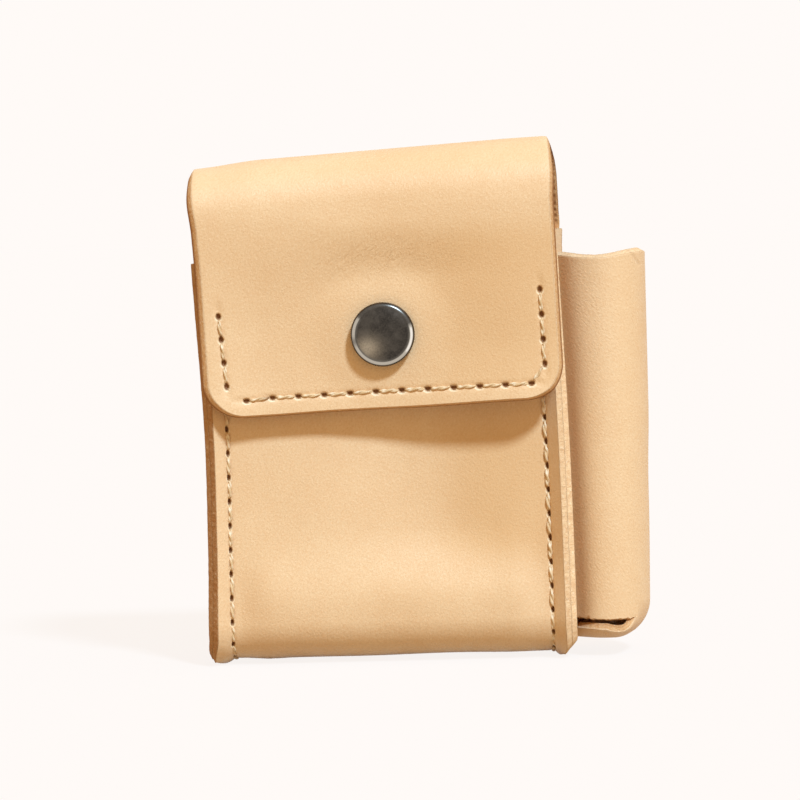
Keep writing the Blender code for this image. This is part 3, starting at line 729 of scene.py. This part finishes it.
def fold_piece():
    s_rows = rows_between(S_PANEL, S_JOIN, 0.26)
    over = past(s_rows, S_PANEL, S_JOIN - S_PANEL)
    ends = [mix(rim_end(s_rows, side), FLAP_HALF, over) - mix(0.3, FLAP_ROLL[side], over) for side in SIDES]
    s, t = both_sides(s_rows, joined(np.linspace(0, 32, 56), np.linspace(32.4, 33.6, 4)), ends, 10)
    grain = strip_point(s, t)
    grain[..., 2] -= droop(t, FLAP_HALF) * past(s, S_BACK, 10)
    # the dotted painted shadow goes on inside the fold
    return sheet("strip_fold", grain, s, t, (0, -1), roll=mix(0.3, at_side(FLAP_ROLL, t), over),
                 nicks=inside_gap_shadow(s, t), seed=21, **CUT_EDGE)


LEFT_HOLES = [(71.25 - 4.66 * k, -31.24 + 0.233 * k) for k in range(4)]
ROW_HOLES = [(54.45 if k else 54.15, -26.84 + 5.11 * k) for k in range(12)]
RIGHT_HOLES = [(57.98 + 4.79 * k, 32.2 - 0.035 * k) for k in range(4)]


def flap_holes():
    """The U of holes from the left side's top round to the right's: (s, t, angle)."""
    return [(S_FLAP - (z - FLAP_BOTTOM), t, angle)
            for holes, angle in ((LEFT_HOLES, 0.0), (ROW_HOLES, PI / 2), (RIGHT_HOLES, 0.0)) for z, t in holes]


def flap_point(s, t, above=0.0):
    """A point on the flap's grain side, or above it."""
    y, z, angle = STRIP.at(s)
    out = flap_relief(s, t) + above
    z_drop = droop(t, FLAP_HALF) * past(S_NOSE + 4, s, 16)
    z_drop = z_drop + (0.33 * past(-t, 8, 16) - 0.45 * past(t, 4, 24)) * past(s - S_FLAP, -3, 3)
    return stacked(t, y + out * np.cos(angle), z + out * np.sin(angle) - z_drop)


def flap_piece():
    corner = FLAP_CORNER - FLAP_ROLL[1]
    bottom = S_FLAP - 0.25
    turn = np.linspace(0, PI / 2, 30)[:, None]
    s_rows = joined(rows_between(S_JOIN, S_NOSE + 18, 0.6)[:-1],
                    rows_between(S_NOSE + 18, bottom - corner, 0.24)[:-1],
                    bottom - corner + corner * np.sin(turn))
    turn = joined(np.zeros((len(s_rows) - len(turn), 1)), turn)
    left, right = (FLAP_HALF - FLAP_ROLL[side] - corner * (1 - np.cos(turn)) for side in SIDES)
    left = left - 0.45 * past(s_rows - S_NOSE, -7, 22)
    s, t = both_sides(s_rows, joined(np.arange(0.0, 25.0, 0.34), [25.0]), (left, right), 47)
    dip, dark, pale = punched(s, t, flap_holes())
    z = S_FLAP - s + FLAP_BOTTOM
    crease = np.exp(-((t - 2) / 17) ** 2 - ((z - 81) / 5.5) ** 2)
    # tan is painted shade: on the flap's right side, in the dented band below the brow and at its upper right
    tan = (0.36 * past(t, 2, 18) * past(89, z, 8) * past(z, 51.5, 4)
           + 0.16 * np.exp(-((t - 6) / 20) ** 2 - ((z - 82) / 6) ** 2) + 0.10 * past(z, 88, 6) * past(t, -4, 20))
    return sheet("flap", flap_point(s, t), s, t, (0,), dip=dip, shade=dark, pale=pale, crease=crease, tan=tan,
                 roll=mix(at_side(FLAP_ROLL, t), FLAP_ROLL_LOW, np.sin(turn) ** 2), seed=31, fray=0.03, **CUT_EDGE)


fold = carried(fold_piece(), None, "grain_leather", "flap_roof", "body_panel")
flap = carried(flap_piece(), None, "grain_leather", "flap_front", "flap_roof")

LINING_TOP = 77.4
LINING_IN = 0.5
LINING_ROLL = 0.25


def lining_piece():
    inset = LINING_IN + LINING_ROLL
    half, low, corner = FLAP_HALF - inset, FLAP_BOTTOM + inset, FLAP_CORNER - LINING_ROLL
    turn = np.linspace(0, PI / 2, 12)
    z = joined(np.linspace(LINING_TOP, low + corner, 36)[:-1], low + corner - corner * np.sin(turn))[:, None]
    width = joined(np.full(35, half), half - corner * (1 - np.cos(turn)))[:, None]
    s, t = both_sides(S_FLAP - (z - FLAP_BOTTOM), np.linspace(0, 24, 33), (width, width), 19)
    return sheet("flap_lining_leather", flap_point(s, t, -STEP), s, t + LINING_PATTERN, thick=LINING,
                 roll=LINING_ROLL, seed=41, place=hang)


carried(lining_piece(), "flap", "lining_leather", "flap_lining")


# Gussets

FLANGE_BEND = 1.1
FLANGE_ROLL = 0.2
GUSSET_ROWS, FLANGE_COLUMNS, WALL_COLUMNS = 231, 24, 18
WALL_SPAN, GUSSET_SPAN = 24, 40


def gusset_section(s, side, share):
    """Across a gusset's flange, share of the way from its raw edge in to the wall: the grain's x and height out of
    the strip, the way along, and the way out from the stitches."""
    flare, rim = rim_at(s, side)
    cos, sin = np.cos(flare), np.sin(flare)
    root = (WALL_X - STITCH_X - STEP * sin) / cos
    half_turn = (PI / 2 - flare) / 2
    radius = FLANGE_BEND / np.tan(half_turn)
    straight = rim - FLANGE_ROLL - root - FLANGE_BEND
    along = share * (straight + radius * 2 * half_turn)
    angle = flare + np.clip((along - straight) / radius, 0.0, 2 * half_turn)
    before = np.maximum(straight - along, 0.0)
    x = STITCH_X + (root + FLANGE_BEND) * cos + STEP * sin + before * cos - radius * (np.sin(angle) - sin)
    out = (root + FLANGE_BEND) * sin - STEP * cos - HALF + before * sin + radius * (np.cos(angle) - cos)
    return x + HALF * np.sin(angle), out - HALF * np.cos(angle), along, rim - FLANGE_ROLL - along


def gusset_piece(name, side, seed):
    n = FLANGE_COLUMNS
    flanges = []
    for top in (S_GUSSET + 0.2, S_GUSSET_REAR - 0.7):
        s = np.broadcast_to(np.linspace(top, S_MIDDLE, GUSSET_ROWS)[:, None], (GUSSET_ROWS, n))
        x, out, along, t = gusset_section(s, side, np.linspace(0, 1, n))
        flanges.append([on_strip(s, side * x, out), s, along, t])
    front, back = flanges[0], [values[:, ::-1] for values in flanges[1]]
    between = np.linspace(0, 1, WALL_COLUMNS + 2)[1:-1]
    wall = front[0][:, -1:] * (1 - between)[:, None] + back[0][:, :1] * between[:, None]
    wall[..., 0] += side * (Waves(seed + 3, 30.0)(wall) * 0.25 + 0.5) * np.sin(between * PI)
    grid = joined(front[0], wall, back[0], axis=1)
    grid[..., 2] = np.maximum(grid[..., 2], FLOOR)
    u = joined(front[1], np.broadcast_to(front[1][:, :1], wall.shape[:2]), back[1], axis=1)
    v = joined(front[2], front[2][:, -1:] + between * WALL_SPAN, GUSSET_SPAN - back[2], axis=1)
    dip, dark = np.zeros((2, *u.shape))
    holes = [(s, SEAM_T[side] - STITCH_X, 0.0) for s in SEAM_S[side]]
    for flange, here in ((front, slice(0, n)), (back, slice(-n, None))):
        dip[:, here], dark[:, here], _ = punched(flange[1], flange[3], holes)
    index = numbers(u.shape)
    # the last row's front and back halves are the same line under the foot
    index[-1, n:-n], index[-1, -n:] = index[-1, n - 1], index[-1, n - 1::-1]
    quads = grid_quads(index)
    folded = quads[:, 1] == quads[:, 2]
    faces = quads[~folded], quads[folded][:, [0, 1, 3]]
    used = np.unique(np.concatenate([part.ravel() for part in faces]))
    quads, tris = (np.searchsorted(used, part)[:, ::side] for part in faces)
    u, v, dip, dark = (values.ravel()[used] for values in (u, v, dip, dark))
    # the gusset's cut edges share the rims' painted shade and light
    return shell(name, grid.reshape(-1, 3)[used], quads, stacked(u, v + GUSSET_PATTERN + seed, 0.0), tris,
                 roll=FLANGE_ROLL, dip=dip, shade=dark, soil=np.full(len(used), RIM_SHADE_AND_LIGHT[side]), seed=seed, **RIM_EDGE)


carried(gusset_piece("gusset_left_leather", -1, 51), "pouch", "grain_leather", "gusset_left")
carried(gusset_piece("gusset_right_leather", 1, 52), "pouch", "grain_leather", "gusset_right")


# Lighter pocket

POCKET_FAR = 52.5 - HALF
POCKET_CENTRE = 43.1
POCKET_WIDE = POCKET_FAR - POCKET_CENTRE
POCKET_DEEP = 11.4
POCKET_COLUMNS = 181
TAB_END = -4.9
TAB_X = 30.9 + GLUE + HALF
POCKET_FLOOR = 4.3
POCKET_FOOT = 7.2
TONGUE_HALF = 8.9
TONGUE_BEND = 6.2
TONGUE_END = 35.9
BEND_ROWS, FLOOR_ROWS = 14, 24
POCKET_ROLL = 0.45
MOUTH_ROLL = 0.75
TAB_HOLE = 2.3
POCKET_HOLES = np.linspace(77.8, 15.1, 14)


def pocket_outline():
    """The pocket leather's middle line from above: front tab, hollow flank, round, and the same again at the rear."""
    turn = np.linspace(math.radians(50), PI, 121)
    oval = np.stack([POCKET_CENTRE - POCKET_WIDE * np.cos(turn), -POCKET_DEEP * np.sin(turn)], -1)
    ends = [np.array((TAB_X, TAB_END)), np.array((TAB_X + 0.7, TAB_END - 1.2)),
            oval[0] - 2.2 * unit(oval[1] - oval[0]), oval[0]]
    f = np.linspace(0, 1, 40)[:-1, None]
    flank = sum(c * (1 - f) ** (3 - k) * f ** k * p for k, (c, p) in enumerate(zip((1, 3, 3, 1), ends)))
    front = joined([(TAB_X, TAB_END + 3.3)], flank, oval)
    points = joined(front, front[-2::-1] * (1, -1))
    far = run_length(points)
    places = np.linspace(0, far[-1], POCKET_COLUMNS)
    line = np.stack([np.interp(places, far, points[:, k]) for k in (0, 1)], -1)
    for _ in range(6):
        line[1:-1] = (line[:-2] + 2 * line[1:-1] + line[2:]) / 4
    return line, places


def pocket_piece():
    line, places = pocket_outline()
    direction = np.gradient(line, axis=0)
    outer = line + unit(np.stack([direction[:, 1], -direction[:, 0]], -1)) * HALF
    x, y = line[:, 0], line[:, 1]
    tongue = np.abs(places - places[-1] / 2) < TONGUE_HALF
    spots = stacked(places, 0, 0)
    jag = Waves(62, 1.5)(spots) * 0.11 + Waves(63, 0.7)(spots) * 0.07
    low = np.where(tongue, POCKET_FLOOR + TONGUE_BEND, POCKET_FOOT + POCKET_ROLL + jag + 0.7 * past(37.5, x, 4))
    top = 80.1 + 0.45 * past(40, x, 5) + 1.15 * past(x, 41, 11) ** 1.4 - 1.3 * past(y, -4, 12) - MOUTH_ROLL
    share = joined(np.linspace(0, 0.07, 27)[:-1], np.linspace(0.07, 1, 126))[:, None]
    z = top + (low - top) * share
    grid = stacked(outer[:, 0], outer[:, 1], z)
    grid[..., 0] -= past(grid[..., 0], 44, 8) * (0.4 * past(50, z, 16) + 0.3 * past(30, z, 26))
    index = numbers(z.shape)
    points, quads = [grid.reshape(-1, 3)], [grid_quads(index)]
    coords = [stacked(z, places + POCKET_PATTERN, 0.0).reshape(-1, 3)]
    columns = np.flatnonzero(tongue)
    first_x, first_y = grid[-1, columns, 0], grid[-1, columns, 1]
    previous = index[-1, columns]
    start_wide = np.abs(first_y).max()
    across = first_y / start_wide
    for k in range(BEND_ROWS + FLOOR_ROWS):
        a = min((k + 1) / BEND_ROWS, 1.0) * PI / 2
        along = first_x - TONGUE_BEND * (1 - math.cos(a))
        if k >= BEND_ROWS:
            along = mix(first_x - TONGUE_BEND, TONGUE_END, (k + 1 - BEND_ROWS) / FLOOR_ROWS)
        oval = np.sqrt(np.clip(1 - ((along - POCKET_CENTRE) / (POCKET_WIDE + HALF)) ** 2, 0.05, 1))
        wide = mix(start_wide, (POCKET_DEEP + HALF - 0.1) * oval, past(k, -1, 6))
        curl = 1.9 * np.clip((np.abs(across) - 0.7) / 0.3, 0, 1) ** 1.5 * past(k, 5, 10)
        up = POCKET_FLOOR - HALF + (TONGUE_BEND + HALF) * (1 - math.sin(a)) + curl
        points.append(stacked(along, across * wide, up))
        coords.append(stacked(8.0 - k * 0.6, places[columns] + POCKET_PATTERN, 0.0))
        ids = z.size + k * len(columns) + np.arange(len(columns))
        quads.append(grid_quads(np.array([previous, ids])))
        previous = ids
    grain, quads, coords = np.concatenate(points), np.concatenate(quads), np.concatenate(coords)
    holes = [(z, place + POCKET_PATTERN, 0.0) for z in POCKET_HOLES for place in (TAB_HOLE, places[-1] - TAB_HOLE)]
    dip, dark, _ = punched(coords[:, 0], coords[:, 1], holes)
    x, y, z = grain.T
    # a short crease runs down from the mouth at the far right, with painted shade in it
    slide = np.clip((81.2 - z) / 3.2, 0, 1)
    crease = bell(np.abs(x - (48.9 + 2.1 * slide)) + 0.5 * np.abs(z - 81.2 + 3.2 * slide), 0, 0.35) * (y < 0)
    # a deeper brown on the hollow flank next to the body is painted shade, and the cut edges get painted shade below 9
    # mm, near the floor, and painted light above
    return shell("lighter_pocket_leather", grain, quads, coords, roll=np.where(z > 70, MOUTH_ROLL, POCKET_ROLL),
                 dip=dip + 0.14 * crease, shade=np.maximum(dark, 0.12 * crease), tan=0.64 * past(40.0, x, 4.5),
                 soil=np.where(z < 9, 0.22, -0.3), seed=61, fray=0.06, dark_edge_and_shade=(0.0, 0.25), slant=True)


carried(pocket_piece(), "pouch", "grain_leather", "lighter_pocket")


# Threads

PLY = 0.27
PLY_OFFSET = 0.19
TWIST = 4.2
THREAD_SIDES = 9
THREAD_STEPS = 34
# the thread's way out of a hole: how far from the hole's middle, and how high
DIVE = ((0.74, -0.9), (0.80, -0.45), (0.96, -0.10), (1.35, 0.04))


def spline(knots, steps):
    """A smooth line through the knots."""
    u = np.linspace(0, len(knots) - 1.001, steps)
    k = u.astype(int)
    f = (u - k)[:, None]
    p0, p1 = knots[np.maximum(k - 1, 0)], knots[k]
    p2, p3 = knots[k + 1], knots[np.minimum(k + 2, len(knots) - 1)]
    return 0.5 * (2 * p1 + (p2 - p0) * f + (2 * p0 - 5 * p1 + 4 * p2 - p3) * f ** 2
                  + (3 * p1 - p0 - 3 * p2 + p3) * f ** 3)


def spoke(side, other, angle, reach):
    """From an axis outwards, side and other being the directions across it."""
    return (side * np.cos(angle)[..., None] + other * np.sin(angle)[..., None]) * reach[..., None]


def stitch_run(points, outs, skip=(), seed=5, size=1.0):
    """Two-ply stitches on one face of a seam: out of each hole's rim, over the leather and into the next hole."""
    verts, quads, rest, dark, painted_highlight = [], [], [], [], []
    rng = np.random.default_rng(seed)
    ring = np.linspace(0, 2 * PI, THREAD_SIDES, endpoint=False)
    ids = numbers((THREAD_STEPS, THREAD_SIDES), wrap=True)
    tube = joined(grid_quads(ids)[:, [0, 3, 2, 1]], cap_quads(ids[0, -2::-1]), cap_quads(ids[-1, :-1]))
    for i in range(len(points) - 1):
        if i in skip:
            continue
        a, b, n = points[i], points[i + 1], unit(outs[i] + outs[i + 1])
        along = unit(b - a)
        across = np.cross(n, along)
        swing = across * rng.uniform(-0.10, 0.10)
        knots = np.array([a + along * d + n * h for d, h in DIVE] + [mix(a, b, 0.5) + n * 0.09 + swing]
                         + [b - along * d + n * h for d, h in reversed(DIVE)])
        line = spline(knots, THREAD_STEPS)
        forward = unit(np.gradient(line, axis=0))
        side = unit(np.cross(across, forward))
        other = np.cross(forward, side)
        far = run_length(line)
        share = far / far[-1]
        full = np.sin(share * PI)
        start = rng.uniform(0, 2 * PI)
        for ply in (0, PI):
            turn = start + ply - far / TWIST * 2 * PI
            centre = line + spoke(side, other, turn, PLY_OFFSET * size * (0.7 + 0.3 * full))
            fat = PLY * size * (0.62 + 0.42 * full ** 1.2) * (1 + 0.04 * np.sin(far * 3.1 + ply))
            quads.append(tube + len(verts) * THREAD_STEPS * THREAD_SIDES)
            verts.append((centre[:, None] + spoke(side[:, None], other[:, None], ring, fat[:, None])).reshape(-1, 3))
            lane = ring + turn[:, None]
            rest.append(stacked(far[:, None] + i * 7, np.cos(lane) * PLY, np.sin(lane) * PLY + ply).reshape(-1, 3))
            # painted shade where the thread sinks into a hole, and painted highlights where it rises out of one onto
            # the leather
            sunk = np.clip(-(np.einsum("ij,j->i", line - a, n) + 0.1) / 0.35, 0, 0.95)
            dark.append(np.repeat(sunk, THREAD_SIDES))
            painted_highlight.append(np.repeat(0.6 * bell(share, 0.30, 0.08) + 0.3 * bell(share, 0.70, 0.07), THREAD_SIDES))
    return tuple(np.concatenate(v) for v in (verts, quads, rest, dark, painted_highlight))


def cap_quads(ring):
    """Quads that close a ring of an odd number of points, the last one folded to a triangle."""
    n = len(ring)
    return np.array([(ring[0], ring[k], ring[k + 1], ring[min(k + 2, n - 1)]) for k in range(1, n - 2, 2)])


def thread_piece(name, runs, body, node, place=settle):
    base = np.cumsum([0] + [len(run[0]) for run in runs])
    verts, rest, dark, painted_highlight = (np.concatenate([run[k] for run in runs]) for k in (0, 2, 3, 4))
    quads = np.concatenate([run[1] + first for run, first in zip(runs, base)])
    folded = quads[:, 2] == quads[:, 3]
    thing = make_mesh(name, verts, quads[~folded], quads[folded][:, :3], {"shade": dark, "pale": painted_highlight}, rest,
                      THREAD_LOOK, place)
    return carried(thing, body, "waxed_thread", node)


def seam_run(side, face, seed):
    """The stitches on the panel's face (1) or on the gusset's flange (-1)."""
    s = SEAM_S[side]
    t = np.full(len(s), SEAM_T[side]) * side
    above = HALF if face > 0 else -(STEP + HALF)
    points = strip_point(s, t, above)
    outs = unit(strip_point(s, t, above + face) - points)
    return stitch_run(points - outs * 0.05, outs, seed=seed)


for name, side in (("left", -1), ("right", 1)):
    thread_piece("seam_stitches_" + name, [seam_run(side, 1, 70 + side), seam_run(side, -1, 80 + side)], "pouch",
                 "seam_thread_" + name)

CORNER_GAP = 3
hole_s, hole_t = np.array(flap_holes()).T[:2]
face_points = flap_point(hole_s, hole_t)
face_outs = unit(flap_point(hole_s, hole_t, 1.0) - face_points)
rear_points = flap_point(hole_s, hole_t, -STEP - LINING)
thread_piece("flap_stitches", [stitch_run(face_points - face_outs * 0.12, face_outs, (CORNER_GAP,), 90, 0.86),
                               stitch_run(rear_points, -face_outs, (CORNER_GAP,), 91)],
             "flap", "flap_thread", hang)

line, places = pocket_outline()
for name, side in (("front", -1), ("rear", 1)):
    tab_y = abs(np.interp(TAB_HOLE, places, line[:, 1])) * side
    thread_piece("pocket_stitches_" + name,
                 [stitch_run(stacked(x, tab_y, POCKET_HOLES), np.tile((out, 0.0, 0.0), (14, 1)), seed=seed + side)
                  for x, out, seed in ((TAB_X + HALF, 1.0, 95), (WALL_X - HALF, -1.0, 97))],
                 "pouch", "pocket_thread_" + name)


# Snap fastener

SNAP_PLACE = np.array((0.0, -HALF_DEPTH - 3.0, SNAP_Z))
SNAP_MOVE = settle(SNAP_PLACE) - SNAP_PLACE
BEVEL = 0.09
STRAIGHT = 0.06


def turned(name, profile, body, node, look=NICKEL_LOOK, slot="dark_nickel", **wear):
    """A piece turned about the snap's axis from (radius, out) pairs, out being measured from the front panel. The
    keyword arguments are painted reflections, as functions of the radius, the angle and out."""
    radius, out = rounded(np.array(profile, float)).T[..., None]
    ring = np.linspace(0, 2 * PI, 96, endpoint=False)
    across, up = radius * np.cos(ring), radius * np.sin(ring)
    points = stacked(SNAP_X + across, -HALF_DEPTH - out, SNAP_Z + up).reshape(-1, 3)
    none = np.zeros(across.shape)
    floats = {key: (wear[key](radius, ring, out) if key in wear else none).ravel() for key in ("worn", "bloom")}
    thing = make_mesh(name, points, grid_quads(numbers(across.shape, wrap=True)), (), floats,
                      stacked(across, up, out).reshape(-1, 3), look, lambda p: p + SNAP_MOVE)
    bm = bmesh.new()
    bm.from_mesh(thing.data)
    bmesh.ops.remove_doubles(bm, verts=bm.verts, dist=0.000002)
    bmesh.ops.recalc_face_normals(bm, faces=bm.faces)
    bm.to_mesh(thing.data)
    bm.free()
    thing.data.set_sharp_from_angle(angle=METAL_SHARP)
    return carried(thing, body, slot, node)


def rounded(profile):
    """The profile with a small bevel at each of its corners, and straight parts left as they are."""
    points = [profile[0]]
    for before, here, after in zip(profile[:-2], profile[1:-1], profile[2:]):
        a, b = before - here, after - here
        la, lb = np.linalg.norm(a), np.linalg.norm(b)
        if 1 + (a @ b) / (la * lb) < STRAIGHT:
            points.append(here)
            continue
        cut = min(BEVEL, la / 2.5, lb / 2.5)
        start, end = here + a / la * cut, here + b / lb * cut
        points += [mix(mix(start, here, k), mix(here, end, k), k) for k in (0.0, 0.25, 0.5, 0.75, 1.0)]
    return np.array(points + [profile[-1]])


DOME = 5.35


def cap_profile():
    """The low dome, the rolled rim round it and the post behind."""
    edge = FLAP_FACE - 0.85
    dome = [(DOME * k / 12, edge + 2.55 + 0.7 * (1 - (k / 12) ** 2)) for k in range(13)]
    rim = [(DOME + 0.95 * math.sin(a), edge + 1.65 + 0.9 * math.cos(a)) for a in np.linspace(0.12, PI / 2, 9)]
    under = [(6.30, edge + 0.18), (6.22, edge), (6.0, edge - 0.06), (1.5, edge - 0.06), (1.5, 3.1), (0.0, 3.1)]
    return dome + rim + under


def rim_painted_reflection(radius, ring, out):
    """Painted reflection round the rolled rim, strongest at its right, fainter at its left and left out from its upper
    right to its upper left.
    """
    on_rim = past(radius, 5.3, 0.2) * (1 - past(radius, 5.92, 0.1)) * (out > FLAP_FACE - 0.2)
    angle = np.degrees(ring)
    kept = past(angle, 14, 9) * (1 - past(angle, 141, 7))
    lit = 1 - past(np.abs(angle - 360 * (angle > 180) + 12), 20, 12)
    return on_rim * (0.86 + 0.14 * lit) * (1 - 0.93 * kept) * (1 - 0.6 * bell(angle, 193, 9))


def dome_bloom(radius, ring, out):
    """A painted reflection of the leather: a warm cloudy patch at the dome's lower left."""
    x, z = radius * np.cos(ring), radius * np.sin(ring)
    return np.exp(-((x + 3.0) / 2.3) ** 2 - ((z + 2.6) / 2.0) ** 2) * (radius < 5.3) * (out > FLAP_FACE)


# the cap's rim and dome carry painted reflections
turned("snap_cap_dome", cap_profile(), "flap", "snap_cap", worn=rim_painted_reflection, bloom=dome_bloom)
turned("snap_socket_cup", [(0.0, 2.4), (4.2, 2.4), (4.2, 1.6), (3.7, 1.6), (3.7, 1.0), (4.7, 1.0), (5.0, 1.12),
                           (5.2, 1.4), (5.2, 2.9), (2.3, 2.9), (2.3, 5.4), (1.7, 5.4), (1.7, 2.9), (0.0, 2.9)],
       "flap", "snap_socket")
turned("snap_stud_head", [(0.0, 2.1), (2.5, 2.1), (2.85, 2.03), (3.1, 1.8), (3.1, 1.5), (2.8, 1.2), (2.8, 0.9),
                          (3.1, 0.75), (4.6, 0.68), (5.0, 0.5), (5.0, 0.2), (1.7, 0.2), (1.7, 1.7), (0.0, 1.7)],
       "pouch", "snap_stud")
turned("snap_post_rivet", [(0.0, 1.5), (1.5, 1.5), (1.5, -1.8), (4.5, -1.8), (4.5, -2.05), (4.2, -2.2), (1.2, -2.2),
                           (0.9, -2.05), (0.0, -2.05)], "pouch", "snap_post")
WIRE = 0.19
turned("snap_spring_wire", [(4.2 - WIRE - 0.13 + WIRE * math.cos(a), 2.0 + WIRE * math.sin(a))
                            for a in np.linspace(0, 2 * PI, 13)], "flap", "snap_spring_ring", STEEL_LOOK,
       "spring_steel")


# Camera, light and floor

FOCAL_PIXELS = 3541.3
PICTURE_PIXELS = 800.0
SENSOR = 36.0
AIM = (-0.0050, -0.0120, 0.0525)
DISTANCE = 0.7
AZIMUTH, HEIGHT, ROLL = 2.0, 2.75, 1.634


def towards(azimuth, height):
    """The direction to something seen from the pouch, azimuth degrees to the right of its front and height up."""
    azimuth, height = math.radians(azimuth), math.radians(height)
    return Vector((math.sin(azimuth) * math.cos(height), -math.cos(azimuth) * math.cos(height), math.sin(height)))


def look_at():
    azimuth, roll = math.radians(AZIMUTH), math.radians(ROLL)
    back = towards(AZIMUTH, HEIGHT)
    right = Vector((math.cos(azimuth), math.sin(azimuth), 0.0))
    up = back.cross(right)
    camera = put("camera", bpy.data.cameras.new("camera"))
    camera.matrix_world = Matrix((math.cos(roll) * right - math.sin(roll) * up,
                                  math.sin(roll) * right + math.cos(roll) * up, back)).transposed().to_4x4()
    camera.location = Vector(AIM) + back * DISTANCE
    camera.data.sensor_width = SENSOR
    camera.data.lens = FOCAL_PIXELS * SENSOR / PICTURE_PIXELS
    camera.data.clip_start, camera.data.clip_end = 0.05, 60.0
    bpy.context.scene.camera = camera


BACKGROUND = (1.0, 0.957, 0.930)
AMBIENT = (0.69, 0.485, 0.235)
SUN = (2.44, 3.48, 4.75)
SUN_DIRECTION = towards(30, 46)
SUN_SPREAD = math.radians(8)
FLOOR_BOUNCE = (0.52, 0.41, 0.28)
FLOOR_SHADOW = 0.09
FLOOR_HALF = 30


def light_and_floor():
    """One sun, a plain glow all round, and a pale floor that shows only a faint shadow."""
    sun = put("key_light", bpy.data.lights.new("key_light", "SUN"))
    sun.data.energy, sun.data.angle = max(SUN), SUN_SPREAD
    sun.data.color = [c / max(SUN) for c in SUN]
    sun.rotation_mode = "QUATERNION"
    sun.rotation_quaternion = SUN_DIRECTION.to_track_quat("Z", "Y")
    world = bpy.context.scene.world = bpy.data.worlds.new("studio")
    s = Shader(world)
    glow = s.nodes["Background"]
    s.plug(glow.inputs["Color"], AMBIENT)
    s.split(glow.outputs[0], s.node("Background", {"Color": BACKGROUND}), "World Output")

    lit = [sun_part / PI * SUN_DIRECTION.z + sky_part for sun_part, sky_part in zip(SUN, AMBIENT)]
    s = Shader(bpy.data.materials.new("floor"))
    s.nodes.remove(s.nodes["Principled BSDF"])
    paper = s.node("BsdfDiffuse", {"Color": tuple(c * FLOOR_SHADOW / e for c, e in zip(BACKGROUND, lit))})
    light = s.node("Emission", {"Color": BACKGROUND, "Strength": 1 - FLOOR_SHADOW})
    s.split(s.node("BsdfDiffuse", {"Color": FLOOR_BOUNCE}), s.node("AddShader", {0: paper, 1: light}),
            "Material Output")
    mesh = bpy.data.meshes.new("floor")
    corners = [(x * FLOOR_HALF, y * FLOOR_HALF, 0) for x, y in ((-1, -1), (1, -1), (1, 1), (-1, 1))]
    mesh.from_pydata(corners, [], [(0, 1, 2, 3)])
    mesh.materials.append(s.owner)
    put("floor", mesh)


look_at()
light_and_floor()
bpy.context.scene.view_settings.view_transform = "Standard"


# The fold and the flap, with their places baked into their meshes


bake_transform(fold)
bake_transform(flap)

bpy.context.view_layer.update()
